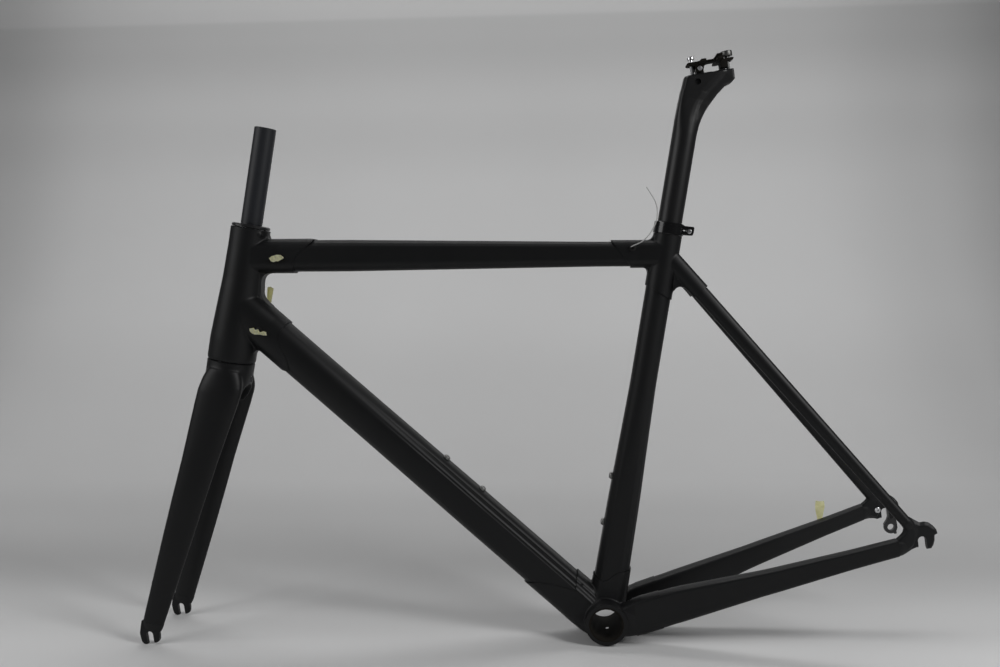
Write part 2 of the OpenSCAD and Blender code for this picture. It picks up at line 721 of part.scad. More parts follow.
// Tape flags on four of the ports
flag_t = 0.6;
module flag(k) {
    p = port_places[k];
    color(tape_yellow) stand() translate([p[0].x, p[1] * (p[2] + 2 + flag_t / 2), p[0].z])
        rotate([90, 0, 0]) linear_extrude(flag_t, center = true) children();
}
module tape_flags() {
    flag(0) polygon([[-7.5, -1], [-2, -8], [9, -4], [7, 2], [2, 7], [-5, 4]]);
    flag(1) polygon([[-10, -3], [-4, -10], [6, -6], [10, 2], [8, 7], [-3, 6]]);
    flag(2) polygon([[-4, -4], [5, -3], [8, 17], [8, 39], [4, 39], [0, 18]]);
    flag(4) polygon([[-4, -4], [4, -4], [6, 15], [5, 38], [-5, 36], [-6, 14]]);
}

// Guide wire that hangs out of the top tube's rear port
module guide_wire() {
    n = len(wire_route);
    wire_sides = 8;
    rings = [for (i = [0 : n - 1])
        let (d = unit(wire_route[min(i + 1, n - 1)] - wire_route[max(i - 1, 0)]),
             u = unit(cross(d, [0, 1, 0])), v = cross(u, d))
        [for (k = [0 : wire_sides - 1])
            wire_route[i] + wire_d / 2 * (cos(360 * k / wire_sides) * u + sin(360 * k / wire_sides) * v)]];
    color(silver) loft(rings);
}

// Seat collar with two ears behind, its bolt and the nut in the far ear
ear_x = 26;
ear_half = 8;
ear_slot = 2.4;
module seat_collar() {
    color(gloss_black) on_seat(collar_low + 0.5) difference() {
        union() {
            cylinder(r = seat_neck_r + 2.2, h = collar_h);
            translate([seat_neck_r, -ear_half, 1])
                cube([ear_x + 6 - seat_neck_r, 2 * ear_half, collar_h - 2]);
        }
        translate([0, 0, -1]) cylinder(r = seat_neck_r + sleeve_fit, h = collar_h + 2);
        translate([0, -ear_slot / 2, -1]) cube([60, ear_slot, collar_h + 2]);
        translate([ear_x, 0, collar_h / 2]) rotate([90, 0, 0]) cylinder(r = 2.6, h = 40, center = true);
        translate([ear_x, ear_half - 4, collar_h / 2]) rotate([-90, 0, 0]) cylinder(r = 4.1, h = 10);
    }
}
module collar_bolt() {
    color(silver) on_seat(collar_low + 0.5 + collar_h / 2) translate([ear_x, 0, 0])
    rotate([90, 0, 0]) difference() {
        union() {
            translate([0, 0, -ear_half + 1]) cylinder(r = 2.5, h = 2 * ear_half - 1);
            translate([0, 0, ear_half]) cylinder(r = 4.2, h = 3.4);
        }
        translate([0, 0, ear_half + 1.2]) cylinder(r = 2, h = 4, $fn = 6);
    }
}
module collar_nut() {
    color(silver) on_seat(collar_low + 0.5 + collar_h / 2) translate([ear_x, ear_half - 4, 0])
        rotate([-90, 0, 0]) difference() {
            cylinder(r = 4, h = 5);
            translate([0, 0, -1]) cylinder(r = 2.55, h = 8);
        }
}

// Headset bearing rings: an outer and an inner race with a groove for the balls
module race(r_in, r_out, low, h, pitch_r, ball_r) {
    on_head(low) rotate_extrude() difference() {
        translate([r_in, 0]) square([r_out - r_in, h]);
        translate([pitch_r, h / 2]) circle(r = ball_r + ball_fit);
    }
}
module balls(low, h, pitch_r, ball_r, count) {
    on_head(low + h / 2) for (k = [0 : count - 1])
        rotate([0, 0, 360 * k / count]) translate([pitch_r, 0, 0]) sphere(r = ball_r);
}
upper_pitch = (upper_cup_r + upper_bore_r) / 2;
lower_pitch = (lower_cup_r + lower_bore_r) / 2;
half_split = 0.9;
module upper_outer_race() {
    color(steel) race(upper_pitch + half_split, upper_cup_r, upper_low, upper_h, upper_pitch, upper_ball_r);
}
module upper_inner_race() {
    color(steel) race(upper_bore_r, upper_pitch - half_split, upper_low, upper_h, upper_pitch, upper_ball_r);
}
module lower_outer_race() {
    color(steel) race(lower_pitch + half_split, lower_cup_r, lower_low, lower_h, lower_pitch, lower_ball_r);
}
module lower_inner_race() {
    color(steel) race(lower_bore_r, lower_pitch - half_split, lower_low, lower_h, lower_pitch, lower_ball_r);
}
module upper_balls() { color(silver) balls(upper_low, upper_h, upper_pitch, upper_ball_r, upper_ball_count); }
module lower_balls() { color(silver) balls(lower_low, lower_h, lower_pitch, lower_ball_r, lower_ball_count); }
module crown_race() {
    color(steel) on_head(crown_top) difference() {
        rotate_extrude() polygon([
            [lower_neck_r + seat_fit, 0], [lower_cup_r - 1, 0], [lower_cup_r - 1, 1],
            [lower_pitch - half_split, lower_low - crown_top],
            [lower_neck_r + seat_fit, lower_low - crown_top]]);
    }
}
module compression_ring() {
    low = upper_low + upper_h;
    grip_r = steerer_r - neck_relief + seat_fit;
    color(steel) on_head(low) difference() {
        rotate_extrude() polygon([
            [grip_r, -4], [upper_bore_r - seat_fit, -4], [upper_bore_r - seat_fit, 0],
            [upper_bore_r + 2.2, 0], [upper_bore_r + 2.2, cover_low - low], [grip_r, cover_low - low]]);
        translate([0, -0.8, -5]) cube([30, 1.6, 12]);
    }
}
module headset_cover() {
    color(gloss_black) on_head(cover_low) rotate_extrude() polygon([
        [steerer_r + seat_fit, 0], [head_top_r - 0.8, 0], [head_top_r - 0.8, cover_h - 1.2],
        [head_top_r - 2, cover_h], [steerer_r + seat_fit, cover_h]]);
}

// Steerer, wide where it sits in the lower bearing
module steerer() {
    top = head_length + steerer_up;
    color(raw_carbon) on_head() difference() {
        rotate_extrude() polygon([
            [steerer_bore / 2 + 4.5, steerer_low], [lower_neck_r - 1, steerer_low],
            [lower_neck_r - 1, crown_top], [lower_neck_r, crown_top],
            [lower_neck_r, neck_top], [steerer_r - neck_relief, taper_top],
            [steerer_r - neck_relief, stem_low],
            [steerer_r, stem_low + 0.2], [steerer_r, top - 1], [steerer_r - 1, top],
            [steerer_bore / 2, top], [steerer_bore / 2, taper_top], [steerer_bore / 2 + 4.5, neck_top]]);
    }
}

// Fork crown and blades. f is the share of the way from the head tube to the axle.
crown_join = 0.15;
blade_stop = 0.955;
function blade_offset(f) = -fork_rake * max(0, (f - 0.09) / 0.91);
function blade_y(f) =
    let (root = crown_gap / 2 + blade_root_width / 2, tip = front_hub / 2 + tip_t / 2)
    lookup(f, [[0.02, root - 9], [0.1, root], [0.5, root + 0.54 * (tip - root)], [0.96, tip]]);
function blade_depth(f) = lookup(f, [
    [0, blade_root_depth / 2 + 1], [0.09, blade_root_depth / 2], [0.36, 0.4 * blade_root_depth],
    [0.65, blade_tip_depth / 2 + 5.5], [0.96, blade_tip_depth / 2]]);
function blade_width(f) = lookup(f, [
    [0.02, blade_root_width / 2 + 3], [0.1, blade_root_width / 2],
    [0.5, blade_tip_width / 2 + 3], [0.96, blade_tip_width / 2]]);
function blade_stations(side, list) =
    [for (f = list) [
        head_base - f * fork_length * head_dir + blade_offset(f) * head_back + [0, side * blade_y(f), 0],
        blade_depth(f), blade_width(f)]];
// Blade sections lie across the steering axis
function blade_rings(side, list, grow = 0) =
    [for (s = blade_stations(side, list)) ring(s[0], [0, 1, 0], head_back, s[2] + grow, s[1] + grow, 2.2)];
blade_list = [for (k = [0 : 8]) crown_join + (blade_stop - crown_join) * k / 8];

brake_s = -22;
module fork_crown() {
    color(satin_black) difference() {
        union() {
            on_head() rotate_extrude() polygon([
                [0, crown_top - 14], [blade_root_depth / 2, crown_top - 14],
                [head_low_r - 0.6, crown_top - 8],
                [head_low_r - 0.6, crown_top], [0, crown_top]]);
            for (side = [-1, 1]) stand() loft(blade_rings(side, [0.03, 0.06, 0.1, crown_join]));
            on_head(-32) translate([-18, -18, 0]) cube([36, 36, 20]);
        }
        on_head() tube_cut(lower_neck_r - 1 + bond, steerer_low - gap, crown_top + 1);
        on_head() tube_cut(9, -60, -20);
        on_head(brake_s) rotate([0, 90, 0]) cylinder(r = brake_sleeve_r + bond, h = 90, center = true);
        for (side = [-1, 1])
            stand() loft(blade_rings(side, [crown_join - 0.05, crown_join + 0.02], -stay_wall));
    }
}
brake_sleeve_r = 5;
module crown_brake_sleeve() {
    half = blade_root_depth / 2 - 1;
    color(silver) on_head(brake_s) rotate([0, 90, 0]) difference() {
        cylinder(r = brake_sleeve_r, h = 2 * half, center = true);
        cylinder(r = 3, h = 90, center = true);
        translate([0, 0, 6]) cylinder(r = 4, h = 60);
    }
}
module fork_blade(side) {
    plug = [crown_join - 0.045, crown_join];
    thick = -2.4 * stay_wall;
    rest = [for (k = [1 : 8]) blade_list[k]];
    color(satin_black) stand() pipe(
        concat(blade_rings(side, plug, -stay_wall - bond), blade_rings(side, blade_list)),
        concat(blade_rings(side, plug, thick), blade_rings(side, [crown_join + 0.002], thick),
            blade_rings(side, rest, -stay_wall)));
}
module left_fork_blade() { fork_blade(-1); }
module right_fork_blade() { fork_blade(1); }

// Fork tips: a slotted plate with a plug that goes up into the blade
module fork_tip(side) {
    a = front_slot / 2;
    half = blade_tip_depth / 2;
    y = side * (front_hub / 2 + tip_t / 2);
    rise = fork_length * (1 - blade_stop);
    top = rise * head_dir;
    color(satin_black) difference() {
        union() {
            for (k = [-1, 1]) stand() translate(front_axle + [k * prong_x, y, -prong_drop])
                rotate([90, 0, 0]) cylinder(r = prong_r, h = tip_t, center = true);
            tip_plate(y) polygon([
                [-prong_x - prong_r, -prong_drop], [-prong_x - prong_r, 4],
                [top.x - half * head_back.x, top.z - half * head_back.z],
                [top.x + half * head_back.x, top.z + half * head_back.z],
                [prong_x + prong_r, 4], [prong_x + prong_r, -prong_drop]]);
            tip_plate(y) rotate(head_angle - 90) translate([-5, rise - 5]) square([10, 13]);
        }
        stand() translate(front_axle + [0, y, 0]) rotate([90, 0, 0]) cylinder(r = a, h = 30, center = true);
        stand() translate(front_axle + [-a, y - 15, -30]) cube([2 * a, 30, 30]);
    }
}
module tip_plate(y) {
    stand() translate(front_axle + [0, y, 0]) rotate([90, 0, 0])
        linear_extrude(tip_t, center = true) children();
}
module left_fork_tip() { fork_tip(-1); }
module right_fork_tip() { fork_tip(1); }

// Seatpost: a round tube that sweeps back into a flat-sided head
post_low = seat_top - post_inserted;
post_bend = seat_top + post_straight;
// Sections of the swept part above the straight tube: [height, centre rearwards, half depth, half width]
post_sweep = [
    [-12, 0, post_r - eps, post_r - eps], [0, 0, post_r, post_r - 0.1], [14, 0.6, 16.1, 15.4],
    [31, 3.6, 17.4, 14.2], [44, 7.4, 19.8, 12.8], [54, 10.8, 22.4, head_half - 0.2]
];
module post_cross(p, r) { stand() translate(p) rotate([90, 0, 0]) cylinder(r = r, h = 60, center = true); }
module seatpost() {
    color(satin_black) difference() {
        union() {
            on_seat() tube_cut(post_r, post_low, post_bend);
            stand() across_flat(head_half) polygon([
                [192.6, 661], [205, 689.6], [208, 690.6], [214, 691], [230, 691], [249, 691], [256, 690.6],
                [262.3, 692], [266.8, 682.5], [260, 673.4], [252, 670.6], [236, 658], [228, 650]]);
            stand() across_flat(tongue_half) translate([clamp_pin.x - clamp_tongue_r, clamp_pin.z - 10])
                square([2 * clamp_tongue_r, 10]);
            stand() translate(clamp_pin) rotate([90, 0, 0])
                cylinder(r = clamp_tongue_r, h = 2 * tongue_half, center = true);
            on_seat() loft([for (k = post_sweep)
                ring([k[1], 0, post_bend + k[0]], [0, 1, 0], [1, 0, 0], k[3], k[2], 2)]);
        }
        on_seat() tube_cut(post_r - 2.4, post_low - 1, post_bend - 6);
        post_cross(clamp_pin, pin_r + 0.05);
        post_cross(dish, dish_r);
        post_cross([217, 0, 680.3], 4.2);
        stand() translate([front_bolt_x - 4.7, -3.5, 684]) cube([9, 7, 20]);
        stand() translate([front_bolt_x - 6, -8.5, 669]) cube([12.5, 17, 17]);
        stand() translate([rear_bolt_x - 5, -3.5, 684]) cube([10, 7, 20]);
        stand() translate([rear_bolt_x - 6.5, -8.5, 676.2]) cube([12, 17, 11.8]);
    }
}
module across_flat(half) { rotate([90, 0, 0]) linear_extrude(2 * half, center = true) children(); }

// Lower cradle: front legs on the pin, an open arch and a rear leg over the head
cradle_half = 19;
wing_half = 6;
module lower_cradle() {
    color(gloss_black) difference() {
        union() {
            stand() across_flat(cradle_half) polygon([
                [clamp_pin.x - clamp_leg_r, clamp_pin.z], [clamp_pin.x + clamp_leg_r, clamp_pin.z],
                [230.5, clamp_bar_z], [248.5, clamp_bar_z], [249, 693.4], [256.5, 692.8],
                [257.5, clamp_bar_z],
                [266, clamp_bar_z], [266, clamp_bar_z + clamp_bar_t], [207, clamp_bar_z + clamp_bar_t],
                [207, clamp_bar_z], [clamp_pin.x - clamp_leg_r, clamp_bar_z - 2]]);
            stand() translate(clamp_pin) rotate([90, 0, 0])
                cylinder(r = clamp_leg_r, h = 2 * cradle_half, center = true);
            for (side = [-1, 1])
                stand() translate([224, side * rail_spacing / 2 - wing_half, clamp_bar_z - 1])
                cube([26, 2 * wing_half, clamp_bar_t + 1]);
        }
        rail_grooves();
        stand() translate([200, -tongue_half - gap, 680])
            cube([31, 2 * (tongue_half + gap), clamp_bar_z - 680]);
        for (x = [front_bolt_x, rear_bolt_x])
            stand() translate([x, 0, 680]) cylinder(r = clamp_bolt_r + 0.1, h = 60);
        stand() translate(clamp_pin) rotate([90, 0, 0]) cylinder(r = pin_r + 0.05, h = 60, center = true);
    }
}
module rail_grooves() {
    for (side = [-1, 1]) stand() translate([190, side * rail_spacing / 2, rail_z])
        rotate([0, 90, 0]) cylinder(r = rail_d / 2, h = 90);
}
module cradle_pin() {
    color(silver) stand() translate(clamp_pin) rotate([90, 0, 0])
        cylinder(r = pin_r, h = 2 * cradle_half, center = true);
}

// Upper clamp: a spine that the bolts pull down, with a wing over each rail
module upper_clamp() {
    low = rail_z + 0.5;
    color(gloss_black) difference() {
        union() {
            stand() translate([207.5, -6, low]) cube([57.5, 12, clamp_top - low]);
            stand() translate([228, -rail_spacing / 2 - wing_half, low])
                cube([18, rail_spacing + 2 * wing_half, clamp_top - low]);
            for (side = [-1, 1]) stand() translate([224, side * rail_spacing / 2 - wing_half, low])
                cube([26, 2 * wing_half, clamp_top + 1.2 - low]);
        }
        rail_grooves();
        for (x = [front_bolt_x, rear_bolt_x])
            stand() translate([x, 0, 680]) cylinder(r = clamp_bolt_r + 0.1, h = 60);
    }
}

// Clamp bolts from above and the barrel nuts that they screw into
module clamp_bolt(x, nut_z) {
    top = clamp_top;
    color(silver) stand() translate([x, 0, 0]) difference() {
        union() {
            translate([0, 0, nut_z - 3.6]) cylinder(r = clamp_bolt_r, h = top - nut_z + 3.6);
            translate([0, 0, top]) cylinder(r = 4.6, h = 4.2);
        }
        translate([0, 0, top + 2]) cylinder(r = 2, h = 5, $fn = 6);
    }
}
front_nut_z = 678;
rear_nut_z = 681.5;
module front_clamp_bolt() { clamp_bolt(front_bolt_x, front_nut_z); }
module rear_clamp_bolt() { clamp_bolt(rear_bolt_x, rear_nut_z); }
module clamp_barrel_nuts() {
    color(steel) for (n = [[front_bolt_x, front_nut_z], [rear_bolt_x, rear_nut_z]])
    stand() translate([n[0], 0, n[1]]) difference() {
        rotate([90, 0, 0]) cylinder(r = barrel_r, h = 13, center = true);
        cylinder(r = clamp_bolt_r + 0.05, h = 20, center = true);
    }
}

head_lug();
top_tube();
down_tube();
seat_lug();
seat_tube();
bb_lug();
bb_sleeve();
left_chainstay();
right_chainstay();
left_seatstay();
right_seatstay();
brake_bridge();
left_dropout();
right_dropout();
derailleur_hanger();
hanger_bolts();
bottle_inserts();
bottle_bolts();
bb_cable_guide();
bb_guide_screw();
cable_ports();
tape_flags();
guide_wire();
seat_collar();
collar_bolt();
collar_nut();
upper_outer_race();
upper_inner_race();
upper_balls();
lower_outer_race();
lower_inner_race();
lower_balls();
crown_race();
compression_ring();
headset_cover();
steerer();
fork_crown();
crown_brake_sleeve();
left_fork_blade();
right_fork_blade();
left_fork_tip();
right_fork_tip();
seatpost();
lower_cradle();
cradle_pin();
upper_clamp();
front_clamp_bolt();
rear_clamp_bolt();
clamp_barrel_nuts();
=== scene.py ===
import json
import math

import bmesh
import bpy
from mathutils import Matrix, Vector


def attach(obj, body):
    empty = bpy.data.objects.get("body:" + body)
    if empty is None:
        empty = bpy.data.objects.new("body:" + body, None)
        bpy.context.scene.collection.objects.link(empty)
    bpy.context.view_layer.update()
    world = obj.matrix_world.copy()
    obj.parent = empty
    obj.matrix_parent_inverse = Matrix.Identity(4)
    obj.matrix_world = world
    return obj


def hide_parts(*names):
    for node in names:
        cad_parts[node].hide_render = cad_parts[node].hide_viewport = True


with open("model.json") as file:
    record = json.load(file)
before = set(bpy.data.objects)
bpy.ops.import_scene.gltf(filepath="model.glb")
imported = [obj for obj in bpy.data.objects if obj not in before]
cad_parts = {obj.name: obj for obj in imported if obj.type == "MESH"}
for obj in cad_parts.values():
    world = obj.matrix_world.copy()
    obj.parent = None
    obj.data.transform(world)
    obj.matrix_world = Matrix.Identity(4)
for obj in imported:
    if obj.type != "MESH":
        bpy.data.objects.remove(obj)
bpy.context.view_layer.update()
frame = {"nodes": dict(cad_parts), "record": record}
record = frame["record"]

# Sizes of the frame in millimetres, drawn with the wheel axles level
BB_DROP = 69.0
CHAINSTAY_LENGTH = 409.5
FRONT_CENTRE = 609.5
SEAT_ANGLE = 72.7
HEAD_ANGLE = 71.7
HEAD_LENGTH = 180
FORK_LENGTH = 377
FORK_RAKE = 38
TOP_JOINT = 142
DOWN_JOINT = 75.5
SEAT_JOINT = 491
STAY_JOINT = 493
HEAD_TOP_RADIUS = 26.2
HEAD_LOW_RADIUS = 31.6
CROWN_TOP = -1.2
BRAKE_HOLE_Z = -22
TIP_Y = 53
DROPOUT_Y = 68.5
DROPOUT_RISE = {-1: -6, 1: 3}
CHAINSTAY_DROP = {-1: 6, 1: 10}
CHAINSTAY_END = 373.65
STAY_START = 38
BRIDGE_AT = 112
DOWN_HALF_DEPTH, DOWN_HALF_WIDTH = 26.5, 25.5
SEAT_TUBE_END = 455
SHELL_HALF = 43.25
SHELL_RADIUS = 27.8
SEAT_BORE = 15.85
SEAT_BARREL = 18.75
STEERER_RADIUS = 14.3
COLLAR_BOLT_X, COLLAR_BOLT_Z = 26, 524
FRONT_SLOT_HALF = 4.5
REAR_SLOT_HALF = 5.2
HANGER_IN, HANGER_OUT = 72, 77
REAR_AXLE = Vector((math.sqrt(CHAINSTAY_LENGTH ** 2 - BB_DROP ** 2), 0, BB_DROP))
FRONT_AXLE = Vector((-math.sqrt(FRONT_CENTRE ** 2 - BB_DROP ** 2), 0, BB_DROP))
HANGER_BOLT_X, HANGER_BOLT_Z = REAR_AXLE.x - 10, REAR_AXLE.z + 4
SEAT_LEAN = math.radians(90 - SEAT_ANGLE)
HEAD_LEAN = math.radians(90 - HEAD_ANGLE)
SEAT_DIR = Vector((math.sin(SEAT_LEAN), 0, math.cos(SEAT_LEAN)))
HEAD_DIR = Vector((math.sin(HEAD_LEAN), 0, math.cos(HEAD_LEAN)))
HEAD_BACK = Vector((math.cos(HEAD_LEAN), 0, -math.sin(HEAD_LEAN)))
HEAD_FOOT = FRONT_AXLE + FORK_LENGTH * HEAD_DIR + FORK_RAKE * HEAD_BACK
TOP_TUBE_FRONT = HEAD_FOOT + TOP_JOINT * HEAD_DIR
TOP_TUBE_REAR = SEAT_JOINT * SEAT_DIR
DOWN_TUBE_FRONT = HEAD_FOOT + DOWN_JOINT * HEAD_DIR
DOWN_TUBE_REAR = Vector((0, 0, -13))
STAY_TOP = STAY_JOINT * SEAT_DIR
FLOOR_Z = -29.3

# The frame is drawn level and then pitched nose down, to stand on its fork tips
PITCH = math.radians(8.02724)
STAND = Matrix.Rotation(-PITCH, 4, "Y")
TO_METRES = Matrix.Scale(0.001, 4)


def bench(origin, along, up):
    """Axes of a bench: Z runs along a tube, X is its upper side and Y goes across it."""
    z = along.normalized()
    x = (up - up.dot(z) * z).normalized()
    y = z.cross(x)
    return Matrix.Translation(origin) @ Matrix((x, y, z)).transposed().to_4x4()


def tilted(origin, lean):
    """Axes of a bench whose X runs rearwards and whose Z leans back from upright."""
    return Matrix.Translation(origin) @ Matrix.Rotation(lean, 4, "Y")


UP = Vector((0, 0, 1))
LEVEL = Matrix.Identity(4)
HEAD = tilted(HEAD_FOOT, HEAD_LEAN)
SEAT = tilted(Vector((0, 0, 0)), SEAT_LEAN)
TOP_RUN = TOP_TUBE_REAR - TOP_TUBE_FRONT
DOWN_RUN = DOWN_TUBE_REAR - DOWN_TUBE_FRONT
STAY_RUN = REAR_AXLE - STAY_TOP
TOP_TUBE = bench(TOP_TUBE_FRONT, TOP_RUN, UP)
DOWN_TUBE = bench(DOWN_TUBE_FRONT, DOWN_RUN, UP)
SEATSTAY = bench(STAY_TOP, STAY_RUN, UP)
CHAINSTAY = bench(Vector((0, 0, 0)), Vector((1, 0, 0)), UP)


# Hand tools
def clear_bench():
    if bpy.context.mode != "OBJECT":
        bpy.ops.object.mode_set(mode="OBJECT")
    bpy.ops.object.select_all(action="DESELECT")


def take(piece):
    clear_bench()
    piece.select_set(True)
    bpy.context.view_layer.objects.active = piece


def open_mesh(piece, kind="VERT"):
    take(piece)
    bpy.ops.object.mode_set(mode="EDIT")
    bpy.ops.mesh.select_mode(type=kind)


def close_mesh():
    bpy.ops.object.mode_set(mode="OBJECT")


def face_outwards(piece):
    open_mesh(piece)
    bpy.ops.mesh.select_all(action="SELECT")
    bpy.ops.mesh.normals_make_consistent(inside=False)
    close_mesh()


def named(piece, name):
    piece.name = name
    piece.data.name = name
    return piece


def finish_with(piece, kind, **settings):
    """Adds one modifier and applies it."""
    take(piece)
    modifier = piece.modifiers.new(kind.lower(), kind)
    for key, value in settings.items():
        setattr(modifier, key, value)
    bpy.ops.object.modifier_apply(modifier=modifier.name)
    return piece


def lay(piece, axes):
    """Turns a piece from its own bench on to another one, with its place in the mesh."""
    take(piece)
    piece.matrix_world = axes
    bpy.ops.object.transform_apply(location=True, rotation=True, scale=True)
    return piece


def copies(piece, places):
    """Lays one copy of a piece, with a mesh of its own, at each place and clears the pattern away."""
    laid = []
    for axes in places:
        twin = piece.copy()
        twin.data = piece.data.copy()
        bpy.context.scene.collection.objects.link(twin)
        laid.append(lay(twin, axes))
    bpy.data.objects.remove(piece)
    return laid


def join(name, parts):
    take(parts[0])
    for part in parts[1:]:
        part.select_set(True)
    bpy.ops.object.join()
    return named(bpy.context.object, name)


def fuse(name, parts, grain=1.1, smoothing=6):
    """Moulds overlapping forms into one skin with soft inner corners."""
    piece = join(name, parts)
    finish_with(piece, "REMESH", mode="VOXEL", voxel_size=grain)
    if smoothing:
        finish_with(piece, "SMOOTH", factor=0.5, iterations=smoothing)
    return piece


def cut(piece, cutter):
    finish_with(piece, "BOOLEAN", operation="DIFFERENCE", solver="EXACT", object=cutter)
    bpy.data.objects.remove(cutter)
    return piece


def unite(piece, other):
    finish_with(piece, "BOOLEAN", operation="UNION", solver="EXACT", object=other)
    bpy.data.objects.remove(other)
    return piece


def slice_off(piece, point, normal):
    """Removes what lies beyond a plane and closes the cut."""
    open_mesh(piece)
    bpy.ops.mesh.select_all(action="SELECT")
    bpy.ops.mesh.bisect(plane_co=point, plane_no=normal, use_fill=True, clear_outer=True)
    close_mesh()
    return piece


def soften(piece, angle=35):
    take(piece)
    bpy.ops.object.shade_smooth_by_angle(angle=math.radians(angle))
    return piece


def ease_edges(piece, width, segments=3, angle=40):
    return finish_with(piece, "BEVEL", width=width, segments=segments, limit_method="ANGLE",
                       angle_limit=math.radians(angle), harden_normals=False)


# Tube sections: a rim is a list of points across a tube, upper side first
RIM_POINTS = 192
HALF_STEPS = 32
ARC_STEPS = 8


def oval(half_x, half_y, fullness=2.3):
    rim = []
    for step in range(RIM_POINTS):
        turn = 2 * math.pi * step / RIM_POINTS
        c, s = math.cos(turn), math.sin(turn)
        x = math.copysign(abs(c) ** (2 / fullness), c) * half_x
        y = math.copysign(abs(s) ** (2 / fullness), s) * half_y
        rim.append((x, y))
    return rim


def half_oval(fullness):
    """One side of an oval section of unit size."""
    rim = []
    for step in range(HALF_STEPS + 1):
        turn = math.pi * step / HALF_STEPS
        c, s = math.cos(turn), math.sin(turn)
        rim.append((math.copysign(abs(c) ** (2 / fullness), c), abs(s) ** (2 / fullness)))
    return rim


def even_rim(half_rim):
    """Spreads RIM_POINTS points evenly round a section given by one side, from top to bottom."""
    loop = [Vector(p) for p in half_rim]
    loop += [Vector((p[0], -p[1])) for p in reversed(half_rim[1:-1])]
    loop.append(loop[0])
    legs = [(loop[i + 1] - loop[i]).length for i in range(len(loop) - 1)]
    total = sum(legs)
    rim = []
    for step in range(RIM_POINTS):
        goal = total * step / RIM_POINTS
        i = 0
        while goal > legs[i] and i < len(legs) - 1:
            goal -= legs[i]
            i += 1
        point = loop[i].lerp(loop[i + 1], goal / legs[i])
        rim.append((point.x, point.y))
    return rim


def scaled(rim, half_x, half_y):
    return [(x * half_x, y * half_y) for x, y in rim]


def grown(rim, by, by_side=None):
    """A rim for a socket that fits round another rim, with its own growth at the sides."""
    by_side = by if by_side is None else by_side
    longest_x = max(abs(x) for x, y in rim)
    longest_y = max(abs(y) for x, y in rim)
    return [(x * (1 + by / longest_x), y * (1 + by_side / longest_y)) for x, y in rim]


def blend_rims(first, second, share):
    return [(a[0] + (b[0] - a[0]) * share, a[1] + (b[1] - a[1]) * share) for a, b in zip(first, second)]


def ease(value, low, high):
    t = min(1.0, max(0.0, (value - low) / (high - low)))
    return t * t * (3 - 2 * t)


def along_table(value, table):
    """Straight-line reading from a table of (place, size)."""
    if value <= table[0][0]:
        return table[0][1]
    for (a, va), (b, vb) in zip(table, table[1:]):
        if value <= b:
            return va + (vb - va) * (value - a) / (b - a)
    return table[-1][1]


def draw_tube(name, stations):
    """Pulls a closed skin through stations of (along, rim, shift x, shift y) on its own bench."""
    clear_bench()
    count = len(stations[0][1])
    bpy.ops.mesh.primitive_circle_add(vertices=count, radius=1, fill_type="NGON")
    skin = named(bpy.context.object, name)
    open_mesh(skin)
    mesh = bmesh.from_edit_mesh(skin.data)
    order = mesh.verts.layers.int.new("rim_order")
    for place, vert in enumerate(mesh.verts):
        vert[order] = place
    bpy.ops.mesh.select_all(action="SELECT")
    before = None
    for along, rim, shift_x, shift_y in stations:
        if before is not None:
            bpy.ops.mesh.extrude_region_move(TRANSFORM_OT_translate={"value": (0, 0, along - before)})
        mesh = bmesh.from_edit_mesh(skin.data)
        order = mesh.verts.layers.int["rim_order"]
        for vert in mesh.verts:
            if vert.select:
                x, y = rim[vert[order]]
                vert.co = (x + shift_x, y + shift_y, along)
        bmesh.update_edit_mesh(skin.data)
        before = along
    bpy.ops.mesh.select_all(action="SELECT")
    bpy.ops.mesh.normals_make_consistent(inside=False)
    close_mesh()
    return skin


def turned(name, profile, sides=64):
    """A turned solid on its bench's Z axis, from a profile of (radius, height)."""
    clear_bench()
    radius, height = profile[0]
    bpy.ops.mesh.primitive_circle_add(
        vertices=sides, radius=radius, fill_type="NGON", location=(0, 0, height))
    solid = named(bpy.context.object, name)
    bpy.ops.object.transform_apply(location=True)
    open_mesh(solid)
    bpy.ops.mesh.select_all(action="SELECT")
    for next_radius, next_height in profile[1:]:
        bpy.ops.mesh.extrude_region_move(TRANSFORM_OT_translate={"value": (0, 0, next_height - height)})
        spread = next_radius / radius
        bpy.ops.transform.resize(value=(spread, spread, 1), center_override=(0, 0, next_height))
        radius, height = next_radius, next_height
    bpy.ops.mesh.select_all(action="SELECT")
    bpy.ops.mesh.normals_make_consistent(inside=False)
    close_mesh()
    return solid


def plate(name, corners, low, high):
    """A flat plate on the level bench. Corners are (x, z) and the plate runs from y low to y high."""
    clear_bench()
    bpy.ops.mesh.primitive_circle_add(vertices=len(corners), radius=1, fill_type="NGON")
    slab = named(bpy.context.object, name)
    for vert, (x, z) in zip(slab.data.vertices, corners):
        vert.co = (x, low, z)
    open_mesh(slab)
    bpy.ops.mesh.select_all(action="SELECT")
    bpy.ops.mesh.extrude_region_move(TRANSFORM_OT_translate={"value": (0, high - low, 0)})
    bpy.ops.mesh.select_all(action="SELECT")
    bpy.ops.mesh.normals_make_consistent(inside=False)
    close_mesh()
    return slab


def cross_rod(name, x, z, radius, low, high, sides=48):
    """A rod across the frame on the level bench."""
    clear_bench()
    bpy.ops.mesh.primitive_cylinder_add(vertices=sides, radius=radius, depth=high - low,
                                        location=(x, (low + high) / 2, z), rotation=(math.pi / 2, 0, 0))
    rod = named(bpy.context.object, name)
    bpy.ops.object.transform_apply(location=True, rotation=True, scale=True)
    return rod


def block(name, low, high):
    clear_bench()
    low, high = Vector(low), Vector(high)
    bpy.ops.mesh.primitive_cube_add(size=1, location=(low + high) / 2)
    box = named(bpy.context.object, name)
    box.scale = high - low
    bpy.ops.object.transform_apply(location=True, rotation=True, scale=True)
    return box


